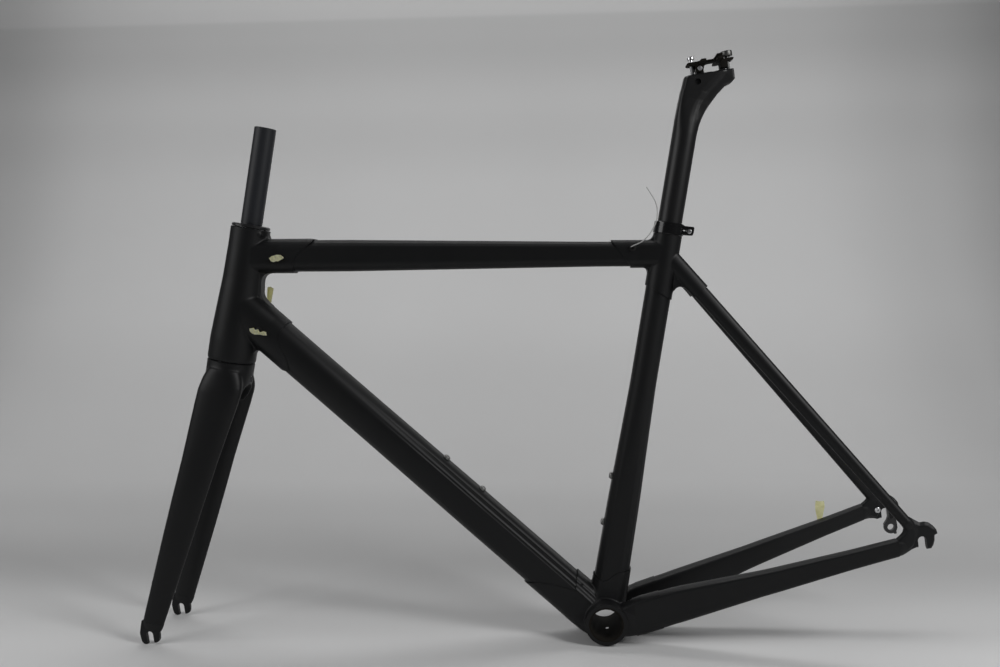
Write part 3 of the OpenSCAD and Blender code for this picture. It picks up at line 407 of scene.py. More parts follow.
def hang(piece, body, nodes, finish, axes=LEVEL, angle=35):
    """Stands a finished piece in the frame, in metres, in place of its plain solids."""
    lay(piece, TO_METRES @ STAND @ axes)
    face_outwards(piece)
    soften(piece, angle)
    piece.data.materials.clear()
    piece.data.materials.append(finish)
    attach(piece, body)
    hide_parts(*nodes)
    return piece


# Shader groups for what several finishes share
def shader_group(name, inputs, outputs):
    group = bpy.data.node_groups.new(name, "ShaderNodeTree")
    for label, kind, value in inputs:
        socket = group.interface.new_socket(label, in_out="INPUT", socket_type=kind)
        if value is not None:
            socket.default_value = value
    for label, kind in outputs:
        group.interface.new_socket(label, in_out="OUTPUT", socket_type=kind)
    return group, group.nodes.new("NodeGroupInput"), group.nodes.new("NodeGroupOutput")


def math_node(tree, operation, first, second=None, third=None):
    node = tree.nodes.new("ShaderNodeMath")
    node.operation = operation
    for socket, value in zip(node.inputs, (first, second, third)):
        if value is None:
            continue
        if isinstance(value, (int, float)):
            socket.default_value = value
        else:
            tree.links.new(value, socket)
    return node.outputs[0]


def noise(tree, vector, scale, detail=3.0, roughness=0.5):
    node = tree.nodes.new("ShaderNodeTexNoise")
    node.inputs["Detail"].default_value = detail
    node.inputs["Roughness"].default_value = roughness
    tree.links.new(vector, node.inputs["Vector"])
    if isinstance(scale, (int, float)):
        node.inputs["Scale"].default_value = scale
    else:
        tree.links.new(scale, node.inputs["Scale"])
    return node.outputs["Fac"]


def make_lacquer_skin():
    """Orange peel and uneven sheen of a sprayed or moulded skin."""
    tree, given, out = shader_group(
        "lacquer_skin",
        [("Vector", "NodeSocketVector", None), ("Peel Scale", "NodeSocketFloat", 900.0),
         ("Sheen", "NodeSocketFloat", 0.42), ("Sheen Spread", "NodeSocketFloat", 0.12)],
        [("Roughness", "NodeSocketFloat"), ("Height", "NodeSocketFloat"), ("Cloud", "NodeSocketFloat")])
    peel = noise(tree, given.outputs["Vector"], given.outputs["Peel Scale"], 2.0)
    cloud = noise(tree, given.outputs["Vector"], 14.0, 4.0, 0.6)
    smear = noise(tree, given.outputs["Vector"], 55.0, 5.0, 0.65)
    mixed = math_node(tree, "MULTIPLY_ADD", smear, 0.6, math_node(tree, "MULTIPLY", cloud, 0.4))
    lifted = math_node(tree, "SUBTRACT", mixed, 0.5)
    sheen = math_node(tree, "MULTIPLY_ADD", lifted, given.outputs["Sheen Spread"], given.outputs["Sheen"])
    tree.links.new(sheen, out.inputs["Roughness"])
    tree.links.new(peel, out.inputs["Height"])
    tree.links.new(cloud, out.inputs["Cloud"])
    return tree


def make_dust():
    """Sparse pale specks, thicker on faces that look up."""
    tree, given, out = shader_group(
        "settled_dust",
        [("Vector", "NodeSocketVector", None), ("Amount", "NodeSocketFloat", 0.1)],
        [("Mask", "NodeSocketFloat")])
    cells = tree.nodes.new("ShaderNodeTexVoronoi")
    cells.inputs["Scale"].default_value = 320.0
    tree.links.new(given.outputs["Vector"], cells.inputs["Vector"])
    near = math_node(tree, "LESS_THAN", cells.outputs["Distance"], 0.09)
    patch = math_node(tree, "GREATER_THAN", noise(tree, given.outputs["Vector"], 60.0, 2.0), 0.6)
    speck = math_node(tree, "MULTIPLY", near, patch)
    shape = tree.nodes.new("ShaderNodeNewGeometry")
    split = tree.nodes.new("ShaderNodeSeparateXYZ")
    tree.links.new(shape.outputs["Normal"], split.inputs[0])
    up = math_node(tree, "MAXIMUM", split.outputs["Z"], 0.0)
    film = math_node(tree, "MULTIPLY", math_node(tree, "MULTIPLY", up, up),
                     noise(tree, given.outputs["Vector"], 35.0, 4.0))
    both = math_node(tree, "ADD", math_node(tree, "MULTIPLY", film, 0.5), speck)
    tree.links.new(math_node(tree, "MULTIPLY", both, given.outputs["Amount"]), out.inputs["Mask"])
    return tree


def make_wrap():
    """Bias wrapped ply on a round tube: bands that wind round the bench's Z axis."""
    tree, given, out = shader_group(
        "wound_ply",
        [("Vector", "NodeSocketVector", None), ("Pitch", "NodeSocketFloat", 0.004)],
        [("Band", "NodeSocketFloat"), ("Fibre", "NodeSocketFloat")])
    split = tree.nodes.new("ShaderNodeSeparateXYZ")
    tree.links.new(given.outputs["Vector"], split.inputs[0])
    turn = math_node(tree, "ARCTAN2", split.outputs["Y"], split.outputs["X"])
    round_way = math_node(tree, "MULTIPLY", turn, STEERER_RADIUS * 0.001)
    slope = math_node(tree, "ADD", split.outputs["Z"], round_way)
    share = math_node(tree, "DIVIDE", slope, given.outputs["Pitch"])
    band = math_node(tree, "FRACT", share)
    edge = math_node(tree, "ABSOLUTE", math_node(tree, "SUBTRACT", band, 0.5))
    flat = tree.nodes.new("ShaderNodeCombineXYZ")
    tree.links.new(math_node(tree, "MULTIPLY", slope, 2600.0), flat.inputs["X"])
    other_way = math_node(tree, "SUBTRACT", split.outputs["Z"], round_way)
    tree.links.new(math_node(tree, "MULTIPLY", other_way, 90.0), flat.inputs["Y"])
    fibre = noise(tree, flat.outputs[0], 1.0, 2.0)
    tree.links.new(edge, out.inputs["Band"])
    tree.links.new(fibre, out.inputs["Fibre"])
    return tree


def make_scratches():
    """Fine turned or brushed lines, stretched along one axis."""
    tree, given, out = shader_group(
        "tool_lines",
        [("Vector", "NodeSocketVector", None), ("Fineness", "NodeSocketFloat", 3000.0)],
        [("Line", "NodeSocketFloat"), ("Patch", "NodeSocketFloat")])
    mapping = tree.nodes.new("ShaderNodeMapping")
    mapping.inputs["Scale"].default_value = (0.06, 1.0, 1.0)
    tree.links.new(given.outputs["Vector"], mapping.inputs["Vector"])
    tree.links.new(noise(tree, mapping.outputs[0], given.outputs["Fineness"], 3.0), out.inputs["Line"])
    tree.links.new(noise(tree, given.outputs["Vector"], 180.0, 3.0), out.inputs["Patch"])
    return tree


LACQUER_SKIN = make_lacquer_skin()
DUST = make_dust()
WRAP = make_wrap()
SCRATCHES = make_scratches()


def blank_finish(name):
    material = bpy.data.materials.new(name)
    material.use_nodes = True
    tree = material.node_tree
    shader = tree.nodes["Principled BSDF"]
    coords = tree.nodes.new("ShaderNodeTexCoord")
    return material, tree, shader, coords.outputs["Object"]


def use_group(tree, group, vector, **values):
    node = tree.nodes.new("ShaderNodeGroup")
    node.node_tree = group
    tree.links.new(vector, node.inputs["Vector"])
    for label, value in values.items():
        node.inputs[label.replace("_", " ")].default_value = value
    return node


def mix_colour(tree, share, first, second):
    node = tree.nodes.new("ShaderNodeMix")
    node.data_type = "RGBA"
    tree.links.new(share, node.inputs["Factor"])
    for socket, value in ((node.inputs["A"], first), (node.inputs["B"], second)):
        if isinstance(value, tuple):
            socket.default_value = (*value, 1.0)
        else:
            tree.links.new(value, socket)
    return node.outputs["Result"]


def bump(tree, shader, height, strength, distance):
    node = tree.nodes.new("ShaderNodeBump")
    node.inputs["Strength"].default_value = strength
    node.inputs["Distance"].default_value = distance
    tree.links.new(height, node.inputs["Height"])
    tree.links.new(node.outputs["Normal"], shader.inputs["Normal"])


DUST_COLOUR = (0.3, 0.29, 0.28)


def lacquer(name, dark, light, sheen, spread, peel=900.0, peel_strength=0.05, dust=0.015, gloss=0.5):
    material, tree, shader, place = blank_finish(name)
    skin = use_group(tree, LACQUER_SKIN, place, Peel_Scale=peel, Sheen=sheen, Sheen_Spread=spread)
    film = use_group(tree, DUST, place, Amount=dust)
    base = mix_colour(tree, skin.outputs["Cloud"], dark, light)
    dusty = mix_colour(tree, film.outputs["Mask"], base, DUST_COLOUR)
    tree.links.new(dusty, shader.inputs["Base Color"])
    tree.links.new(skin.outputs["Roughness"], shader.inputs["Roughness"])
    shader.inputs["Specular IOR Level"].default_value = gloss
    bump(tree, shader, skin.outputs["Height"], peel_strength, 0.0004)
    return material


def metal(name, dark, light, rough_low, rough_high, fineness=3000.0):
    material, tree, shader, place = blank_finish(name)
    lines = use_group(tree, SCRATCHES, place, Fineness=fineness)
    base = mix_colour(tree, lines.outputs["Patch"], dark, light)
    tree.links.new(base, shader.inputs["Base Color"])
    rough = math_node(tree, "MULTIPLY_ADD", lines.outputs["Line"], rough_high - rough_low, rough_low)
    tree.links.new(rough, shader.inputs["Roughness"])
    shader.inputs["Metallic"].default_value = 1.0
    bump(tree, shader, lines.outputs["Line"], 0.08, 0.0002)
    return material


def make_raw_composite():
    material, tree, shader, place = blank_finish("raw_composite")
    mapping = tree.nodes.new("ShaderNodeMapping")
    mapping.vector_type = "TEXTURE"
    foot = STAND @ HEAD_FOOT
    mapping.inputs["Location"].default_value = foot * 0.001
    mapping.inputs["Rotation"].default_value = (0, HEAD_LEAN - PITCH, 0)
    tree.links.new(place, mapping.inputs["Vector"])
    ply = use_group(tree, WRAP, mapping.outputs[0], Pitch=0.006)
    skin = use_group(tree, LACQUER_SKIN, place, Peel_Scale=600.0, Sheen=0.5, Sheen_Spread=0.15)
    fibre = mix_colour(tree, ply.outputs["Fibre"], (0.007, 0.008, 0.0105), (0.02, 0.022, 0.0265))
    seam = math_node(tree, "GREATER_THAN", ply.outputs["Band"], 0.47)
    base = mix_colour(tree, math_node(tree, "MULTIPLY", seam, 0.5), fibre, (0.006, 0.0066, 0.0084))
    tree.links.new(base, shader.inputs["Base Color"])
    tree.links.new(skin.outputs["Roughness"], shader.inputs["Roughness"])
    shader.inputs["Specular IOR Level"].default_value = 0.4
    bump(tree, shader, ply.outputs["Fibre"], 0.12, 0.0003)
    return material


def make_tape():
    material, tree, shader, place = blank_finish("pale_tape")
    skin = use_group(tree, LACQUER_SKIN, place, Peel_Scale=1400.0, Sheen=0.75, Sheen_Spread=0.2)
    crepe = noise(tree, place, 420.0, 4.0, 0.7)
    base = mix_colour(tree, crepe, (0.6, 0.56, 0.26), (0.86, 0.83, 0.52))
    tree.links.new(base, shader.inputs["Base Color"])
    tree.links.new(skin.outputs["Roughness"], shader.inputs["Roughness"])
    bump(tree, shader, crepe, 0.5, 0.0006)
    shader.inputs["Subsurface Weight"].default_value = 0.6
    shader.inputs["Subsurface Scale"].default_value = 0.003
    shader.inputs["Subsurface Radius"].default_value = (1.0, 0.9, 0.5)
    return material


def make_wire_finish():
    material, tree, shader, place = blank_finish("pale_liner")
    skin = use_group(tree, LACQUER_SKIN, place, Peel_Scale=2000.0, Sheen=0.45, Sheen_Spread=0.1)
    base = mix_colour(tree, skin.outputs["Cloud"], (0.42, 0.42, 0.42), (0.6, 0.6, 0.58))
    tree.links.new(base, shader.inputs["Base Color"])
    tree.links.new(skin.outputs["Roughness"], shader.inputs["Roughness"])
    bump(tree, shader, skin.outputs["Height"], 0.1, 0.0002)
    return material


SATIN_BLACK = lacquer(
    "satin_black_lacquer", (0.0034, 0.0036, 0.004), (0.0056, 0.0059, 0.0064), 0.46, 0.14, gloss=0.3)
POST_BLACK = lacquer(
    "post_black_lacquer", (0.0044, 0.0044, 0.0048), (0.007, 0.007, 0.0075), 0.42, 0.12, gloss=0.42)
DULL_BLACK = lacquer(
    "dull_black", (0.007, 0.006, 0.005), (0.014, 0.012, 0.009), 0.75, 0.1, 1200.0, 0.1, gloss=0.12)
RAW_COMPOSITE = make_raw_composite()
BLACK_ALLOY = lacquer(
    "black_anodised", (0.008, 0.008, 0.0085), (0.014, 0.014, 0.015), 0.3, 0.14, 1600.0, 0.04)
GLOSS_BLACK = lacquer(
    "gloss_black", (0.004, 0.004, 0.0045), (0.007, 0.007, 0.0075), 0.2, 0.12, 700.0, 0.03)
BLACK_PLASTIC = lacquer(
    "black_plastic", (0.006, 0.006, 0.006), (0.011, 0.011, 0.011), 0.55, 0.15, 1200.0, 0.12, gloss=0.25)
RAW_ALLOY = metal("bare_alloy", (0.5, 0.5, 0.52), (0.7, 0.7, 0.72), 0.28, 0.5)
BRIGHT_STEEL = metal("bright_steel", (0.55, 0.55, 0.56), (0.75, 0.75, 0.76), 0.18, 0.4)
GREY_STEEL = metal("grey_steel", (0.2, 0.2, 0.2), (0.34, 0.34, 0.33), 0.3, 0.5)
DARK_STEEL = metal("dark_steel", (0.1, 0.1, 0.098), (0.2, 0.2, 0.19), 0.35, 0.55)
BEARING_STEEL = metal("bearing_steel", (0.5, 0.5, 0.52), (0.62, 0.62, 0.64), 0.1, 0.25, 5000.0)
PALE_TAPE = make_tape()
PALE_LINER = make_wire_finish()

FINISH_OF_SLOT = {
    "satin_black": SATIN_BLACK, "bare_composite": RAW_COMPOSITE, "black_alloy": BLACK_ALLOY,
    "raw_alloy": RAW_ALLOY, "bright_steel": BRIGHT_STEEL, "bearing_steel": BEARING_STEEL,
    "black_plastic": BLACK_PLASTIC, "tape": PALE_TAPE, "wire": PALE_LINER,
}
for part in record["subparts"]:
    solid = frame["nodes"][part["node"]]
    solid.data.materials.clear()
    solid.data.materials.append(FINISH_OF_SLOT[part["material_slot"]])


# Sections of the tubes: one side from top to bottom, in shares of half the depth and half the width
TOP_RIM = even_rim([
    (1, 0), (1, 0.34), (0.95, 0.52), (0.8, 0.74), (0.62, 0.92), (0.5, 0.99), (0.4, 1), (-0.42, 1),
    (-0.56, 0.97), (-0.72, 0.86), (-0.88, 0.66), (-0.97, 0.45), (-1, 0.28), (-1, 0)])
SOFT_RIM = even_rim(half_oval(2.4))
ROUND_RIM = even_rim(half_oval(2.0))
DOWN_RIM = even_rim([
    (1, 0), (1, 0.3), (0.97, 0.47), (0.92, 0.58), (0.85, 0.665), (0.8, 0.69), (0.77, 0.675), (0.745, 0.7),
    (0.72, 0.79), (0.67, 0.87), (0.61, 0.915), (0.57, 0.92), (0.545, 0.915), (0.52, 0.96), (0.495, 1),
    (0.44, 1.005), (-0.5, 1), (-0.66, 0.97), (-0.79, 0.87), (-0.9, 0.7), (-0.97, 0.48), (-1, 0.26), (-1, 0)])
SEAT_RIM = even_rim([
    (1, 0), (1, 0.3), (0.94, 0.56), (0.8, 0.79), (0.6, 0.94), (0.42, 1), (-0.5, 1), (-0.6, 0.985),
    (-0.68, 0.93), (-0.93, 0.56), (-0.98, 0.44), (-1, 0.34), (-1, 0)])
CHAIN_RIM = even_rim([
    (1, 0), (0.99, 0.3), (0.96, 0.6), (0.91, 0.84), (0.86, 0.96), (0.8, 1), (0.2, 1), (-0.55, 1),
    (-0.75, 0.95), (-0.9, 0.78), (-0.98, 0.48), (-1, 0.22), (-1, 0)])
STAY_RIM = even_rim([
    (1, 0), (0.98, 0.2), (0.94, 0.38), (0.87, 0.52), (0.7, 0.71), (0.52, 0.83), (0.3, 0.93),
    (0.1, 0.99), (0, 1), (-0.2, 1), (-0.5, 0.92), (-0.75, 0.74), (-0.92, 0.45), (-0.98, 0.22), (-1, 0)])
SOCKET = 2.05
SOCKET_SIDE = 0.35
TOP_LENGTH = TOP_RUN.length
DOWN_LENGTH = DOWN_RUN.length
STAY_LENGTH = STAY_RUN.length
STAY_SPAN = STAY_LENGTH - 68


def top_tube_rim(along, socket=0.0, side=0.0):
    share = along / TOP_LENGTH
    depth = along_table(share, [(0.25, 21), (0.85, 16.25)])
    width = along_table(share, [(0.2, 19), (0.9, 15)])
    return grown(scaled(TOP_RIM, depth, width), socket, side)


def down_tube_rim(along, socket=0.0, side=0.0):
    rim = blend_rims(SOFT_RIM, DOWN_RIM, ease(along / DOWN_LENGTH, 0.25, 0.72))
    return grown(scaled(rim, DOWN_HALF_DEPTH, DOWN_HALF_WIDTH), socket, side)


def seat_tube_rim(along, socket=0.0, side=0.0):
    share = along / SEAT_TUBE_END
    depth = along_table(share, [(0.1, 22.25), (0.35, 20.9), (0.7, 17.2)])
    width = along_table(share, [(0.1, 19.5), (0.6, 17.2)])
    rim = blend_rims(SEAT_RIM, ROUND_RIM, ease(share, 0.3, 0.68))
    return grown(scaled(rim, depth, width), socket, side)


def spaced(low, high, count):
    return [low + (high - low) * step / (count - 1) for step in range(count)]


def moved(piece, axes, home):
    """Carries a form drawn on one bench over to the home bench of its piece."""
    return lay(piece, home.inverted() @ axes)


def fillet_plates(name, corner, way_a, way_b, layers):
    """Webs that round the inner corner between two walls. Layers are (half width, radius)."""
    corner = Vector(corner)
    way_a, way_b = Vector(way_a).normalized(), Vector(way_b).normalized()
    middle = (way_a + way_b).normalized()
    half = way_a.angle(way_b) / 2
    webs = []
    for half_width, radius in layers:
        reach = radius / math.tan(half)
        centre = corner + middle * (radius / math.sin(half))
        start, stop = corner + way_a * reach, corner + way_b * reach
        arc = []
        for step in range(ARC_STEPS + 1):
            spoke = (start - centre).lerp(stop - centre, step / ARC_STEPS)
            arc.append(centre + spoke.normalized() * radius)
        outline = [corner - middle * 10, start - middle * 6] + arc + [stop - middle * 6]
        webs.append(plate(name, [tuple(point) for point in outline], -half_width, half_width))
    return webs


def layered_plate(name, layers):
    """A plate with shaped edges, from outlines of (x, z) at several places across the frame."""
    form = draw_tube(name, [(y, outline, 0, 0) for y, outline in layers])
    return lay(form, Matrix.Rotation(math.pi / 2, 4, "X"))


def cut_axle_slot(piece, axle, half, middle, reach):
    """Cuts a slot that opens downwards, with a round seat for the axle at its top."""
    x, z = axle.x, axle.z
    cut(piece, cross_rod("axle_seat", x, z, half, middle - reach, middle + reach))
    mouth = [(x - half, z), (x + half, z), (x + half, z - 30), (x - half, z - 30)]
    cut(piece, plate("axle_slot", mouth, middle - reach, middle + reach))


def rim_chamfer(name, radius, height, size):
    """A ring that takes the sharp edge off a turned end. A negative size works on a lower end."""
    low, high = sorted((height - size, height + 4 * size))
    ring = turned(name, [(radius + 20, low), (radius + 20, high)])
    cone = [(radius + abs(size), height - 2 * size), (radius, height - size), (radius - abs(size), height),
            (radius - 6 * abs(size), height + 5 * size)]
    return cut(ring, turned("chamfer_cone", cone if size > 0 else cone[::-1], 96))


# Main tubes
def make_top_tube():
    tube = draw_tube("top_tube_skin", [(a, top_tube_rim(a), 0, 0) for a in spaced(36, TOP_LENGTH - 27, 24)])
    hang(tube, "frame", ["top_tube"], SATIN_BLACK, TOP_TUBE)


def make_down_tube():
    tube = draw_tube("down_tube_skin", [
        (a, down_tube_rim(a), 0, 0) for a in spaced(52, DOWN_LENGTH - 38, 28)])
    hang(tube, "frame", ["down_tube"], SATIN_BLACK, DOWN_TUBE, 24)


def make_seat_tube():
    tube = draw_tube("seat_tube_skin", [(a, seat_tube_rim(a), 0, 0) for a in spaced(40, SEAT_TUBE_END, 24)])
    cut(tube, turned("post_bore", [(SEAT_BORE, 250), (SEAT_BORE, 470)], 96))
    hang(tube, "frame", ["seat_tube"], SATIN_BLACK, SEAT, 30)


# Lugs
def make_head_lug():
    barrel = turned("head_barrel", [
        (HEAD_LOW_RADIUS, -4), (HEAD_LOW_RADIUS, 0), (32.2, 4), (32.2, 28.8), (29.7, 72), (27.2, 111.6),
        (HEAD_TOP_RADIUS, 153), (HEAD_TOP_RADIUS, 184)], 96)
    top_socket = draw_tube("top_socket", [
        (a, top_tube_rim(a, SOCKET, side), 0, 0)
        for a, side in (
            (2, 4.5), (16, 4), (26, 2.8), (36, 1.6), (48, SOCKET_SIDE), (80, SOCKET_SIDE),
            (118, SOCKET_SIDE))])
    down_socket = draw_tube("down_socket", [
        (a, down_tube_rim(a, SOCKET, side), 0, 0)
        for a, side in ((2, 3), (30, 2.2), (52, SOCKET_SIDE), (90, SOCKET_SIDE), (126, SOCKET_SIDE))])
    window = plate("window_web", [
        (12, 76), (47, 76), (44, 82), (38, 85.8), (33.4, 89.4), (30.4, 93.2), (28.9, 97.5), (28.4, 102),
        (27.4, 112), (27.6, 116), (28.8, 119.6), (31.6, 122.8), (36, 124.9), (43, 126.6), (47, 132),
        (12, 136)], -11, 11)
    ease_edges(window, 2, 3, 60)
    webs = [window]
    webs += fillet_plates("rear_top", (HEAD_TOP_RADIUS, 168), (0, 1), (0.985, 0.174), ((9, 5),))
    webs += fillet_plates("under_head", (32.2, 22.7), (0, -1), (0.855, -0.518), ((10, 4),))
    dome = turned("port_dome", [(0.5, 1.6), (2, 1.4), (3.2, 0.6), (4, -3)], 24)
    place = Matrix.Translation((19.4, -17.4, 174)) @ Matrix.Rotation(math.radians(-42), 4, "Z")
    dome = lay(dome, place @ Matrix.Rotation(math.pi / 2, 4, "Y"))
    lug = fuse("head_lug_skin", [
        barrel, moved(top_socket, TOP_TUBE, HEAD), moved(down_socket, DOWN_TUBE, HEAD), dome] + webs, 1.0, 9)
    cut(lug, moved(plate("top_trim", [
        (30, 97), (21, 94.5), (12, 86), (4, 76), (-3, 70), (-12, 67.5), (-30, 67), (-30, 140),
        (30, 140)], -40, 40), TOP_TUBE, HEAD))
    cut(lug, moved(plate("down_trim", [
        (40, 66), (28, 67.5), (12, 69), (4.3, 72.7), (-1.9, 85.5), (-8.5, 101), (-17.9, 110.8),
        (-28, 114), (-40, 115), (-40, 160), (40, 160)], -40, 40), DOWN_TUBE, HEAD))
    slice_off(lug, (0, 0, 0), (0, 0, -1))
    slice_off(lug, (0, 0, HEAD_LENGTH), (0, 0, 1))
    cut(lug, rim_chamfer("top_chamfer", HEAD_TOP_RADIUS, HEAD_LENGTH, 0.8))
    cut(lug, rim_chamfer("foot_chamfer", HEAD_LOW_RADIUS, 0, -0.8))
    cut(lug, turned("head_bore", [
        (26.05, -1), (26.05, 8.4), (22.4, 8.4001), (22.4, 12.4), (24.2, 12.4001), (24.2, 100), (22, 130),
        (18.2, 167), (18.2, 172), (20.95, 172.001), (20.95, 181)], 96))
    hang(lug, "frame", ["head_lug"], SATIN_BLACK, HEAD, 40)


def make_seat_lug():
    barrel = turned("seat_barrel", [(SEAT_BARREL, 400), (SEAT_BARREL, 522)], 96)
    top_socket = draw_tube("rear_top_socket", [
        (a, top_tube_rim(a, SOCKET, side), 0, 0) for a, side in (
            (TOP_LENGTH - 110, SOCKET_SIDE), (TOP_LENGTH - 34, SOCKET_SIDE), (TOP_LENGTH - 22, 1.6),
            (TOP_LENGTH - 12, 2.6), (TOP_LENGTH - 2, 3))])
    parts = [barrel, moved(top_socket, TOP_TUBE, SEAT)]
    for side in (-1, 1):
        sleeve = draw_tube("stay_sleeve", [
            (a, scaled(STAY_RIM, 11.9, 9.4), 0, side * seatstay_spread(a)) for a in (4, 30, 52, 96)])
        parts.append(moved(sleeve, SEATSTAY, SEAT))
    parts += fillet_plates("stay_web", (SEAT_BARREL, 461.6), (0, -1), (0.765, -0.644), ((15, 8.5),))
    parts += fillet_plates("top_front", (-SEAT_BARREL, 506.6), (0, 1), (-0.988, -0.156), ((8, 8),))
    parts += fillet_plates("under_front", (-SEAT_BARREL, 469.5), (0, -1), (-0.988, -0.156), ((9, 5),))
    lug = fuse("seat_lug_skin", parts, 0.9, 8)
    front = TOP_LENGTH - 57
    cut(lug, moved(plate("front_trim", [
        (24, front - 17.9), (0, front), (-16, front + 12), (-24, front + 15), (-24, front - 90),
        (24, front - 90)], -40, 40), TOP_TUBE, SEAT))
    cut(lug, moved(block("stay_trim", (-40, -60, 68), (40, 60, 120)), SEATSTAY, SEAT))
    slice_off(lug, (0, 0, 440), (-0.37, 0, -0.93))
    slice_off(lug, (0, 0, 516), (0, 0, 1))
    neck = turned("seat_neck", [(17.45, 500), (17.45, 532)], 96)
    unite(lug, neck)
    cut(lug, turned("seat_bore", [(SEAT_BORE, 380), (SEAT_BORE, 540)], 96))
    cut(lug, block("seat_slot", (4, -1, 506), (40, 1, 540)))
    dimple = turned("rivet_dimple", [(0.6, 15.4), (1.5, 16.4), (1.6, 22)], 24)
    dimple = lay(dimple, Matrix.Translation((7.4, 0, 491.7)) @ Matrix.Rotation(-math.pi / 2, 4, "X"))
    cut(lug, moved(dimple, TOP_TUBE, SEAT))
    hang(lug, "frame", ["seat_lug"], SATIN_BLACK, SEAT, 40)


def make_shell_lug():
    end = DOWN_LENGTH
    shell = cross_rod("shell_barrel", 0, 0, SHELL_RADIUS, -46, 46, 96)
    down_socket = draw_tube("low_down_socket", [
        (a, down_tube_rim(a, grow, side), 0, 0) for a, grow, side in (
            (end - 150, SOCKET, 0.8), (end - 62, SOCKET, 0.8), (end - 44, SOCKET, 2.5), (end - 26, 0.8, 7.5),
            (end - 8, -3.5, 12.5))])
    seat_socket = draw_tube("low_seat_socket", [
        (a, seat_tube_rim(a, SOCKET, side), 0, 0)
        for a, side in ((4, 5), (24, 3.4), (38, 1.2), (90, SOCKET_SIDE))])
    parts = [shell, moved(down_socket, DOWN_TUBE, LEVEL), moved(seat_socket, SEAT, LEVEL)]
    for side in (-1, 1):
        socket = draw_tube("stay_socket", [
            chainstay_station(side, x, grow, slim)
            for x, grow, slim in ((6, 0.5, 10), (26, 0.5, 3.5), (48, 0.8, 0), (86, 0.8, 0))])
        parts.append(moved(socket, CHAINSTAY, LEVEL))
    lug = fuse("bottom_bracket_lug_skin", parts, 1.05, 7)
    cut(lug, moved(plate("down_end", [
        (40, end - 80), (23, end - 73.5), (12, end - 65.5), (0, end - 90), (-14, end - 112), (-40, end - 130),
        (-40, end - 180), (40, end - 180)], -50, 50), DOWN_TUBE, LEVEL))
    cut(lug, moved(plate("seat_end", [
        (-40, 58), (-26, 53.5), (-18, 50.3), (-11, 49.6), (-5, 52.5), (1.5, 60), (8, 65), (26, 69), (40, 70),
        (40, 120), (-40, 120)], -50, 50), SEAT, LEVEL))
    cut(lug, block("stay_end", (74, -70, -60), (110, 70, 60)))
    for side in (-1, 1):
        washer = block("side_washer", (-150, 40.6, -80), (150, 80, 150))
        cut(washer, cross_rod("rim_core", 0, 0, SHELL_RADIUS, 30, 90, 96))
        cut(lug, lay(washer, Matrix.Rotation(math.pi if side < 0 else 0, 4, "Z")))
        slice_off(lug, (0, side * SHELL_HALF, 0), (0, side, 0))
    slice_off(lug, (0, 0, FLOOR_Z + 0.2), (0, 0, -1))
    cut(lug, cross_rod("shell_bore", 0, 0, 23.05, -60, 60, 96))
    hang(lug, "frame", ["bb_lug"], SATIN_BLACK, LEVEL, 40)


# Stays
def chainstay_station(side, x, socket=0.0, slim=0.0):
    share = x / CHAINSTAY_END
    drop, rise = CHAINSTAY_DROP[side], DROPOUT_RISE[side]
    y = along_table(share, [(0.1, 29.5), (0.25, 32.5), (0.6, 52), (1, DROPOUT_Y)])
    z = -drop + (BB_DROP + rise + drop) * share
    depth = along_table(share, [(0.1, 24.5), (0.27, 23), (0.55, 16), (0.85, 11.8), (1, 11)]) - slim
    width = along_table(share, [(0.1, 11), (0.5, 9.5), (1, 7.5)])
    return x, grown(scaled(CHAIN_RIM, depth, width), socket), z, -side * y


def make_chainstay(side, name, node):
    stay = draw_tube(name, [chainstay_station(side, x) for x in spaced(STAY_START, CHAINSTAY_END, 26)])
    hang(stay, "frame", [node], SATIN_BLACK, CHAINSTAY, 30)


def seatstay_spread(along):
    return 10.5 + 58 * (along - STAY_START) / STAY_SPAN


def seatstay_rim(along):
    share = (along - STAY_START) / STAY_SPAN
    return scaled(blend_rims(STAY_RIM, ROUND_RIM, ease(share, 0.1, 0.6)), 10 - 3 * share, 7.5 - share)


def make_seatstay(side, name, node):
    stay = draw_tube(name, [
        (a, seatstay_rim(a), 0, -side * seatstay_spread(a))
        for a in spaced(STAY_START, STAY_LENGTH - 30, 16)])
    hang(stay, "frame", [node], SATIN_BLACK, SEATSTAY, 30)


def make_brake_bridge():
    reach = seatstay_spread(BRIDGE_AT)
    bar = turned("brake_bridge_skin", [
        (8.2, -reach), (8, -reach + 5), (6.6, -reach + 8), (6, -reach + 12), (6, reach - 12),
        (6.6, reach - 8), (8, reach - 5), (8.2, reach)], 48)
    bar = lay(bar, Matrix.Translation((0, 0, BRIDGE_AT)) @ Matrix.Rotation(math.pi / 2, 4, "X"))
    hang(bar, "frame", ["brake_bridge"], SATIN_BLACK, SEATSTAY)


# Rear dropouts
def dropout_outline(rise, inset, nose_inset):
    lift = rise + 6
    edge = [
        (-5.4, 26), (0, 22), (6, 22.3), (11, 20.6), (15.5, 16.4), (19, 11), (20.2, 5.8), (16.2, 4.4),
        (15.6, -2), (13.4, -8), (10.4, -11.8), (4, -11.8), (-2, -11.4), (-5.8, -8), (-10.5, -9.4),
        (-15.5, -10.7 + 0.35 * lift), (-21.9, -12.6 + 0.65 * lift), (-30, rise - 11),
        (-30, rise + 11.4), (-25.2, rise + 14.6), (-21.4, rise + 18.2), (-19.5, rise + 22.6),
        (-20.4, rise + 28), (-22.5, rise + 33), (-13, 32)]
    outline = []
    for i, point in enumerate(edge):
        before, after = Vector(edge[i - 1]), Vector(edge[(i + 1) % len(edge)])
        spot = Vector(point)
        turn = ((after - spot).normalized() - (before - spot).normalized())
        inner = Vector((turn.y, -turn.x)).normalized() * (nose_inset if i < 5 else inset)
        outline.append((REAR_AXLE.x + spot.x + inner.x, REAR_AXLE.z + spot.y + inner.y))
    return outline


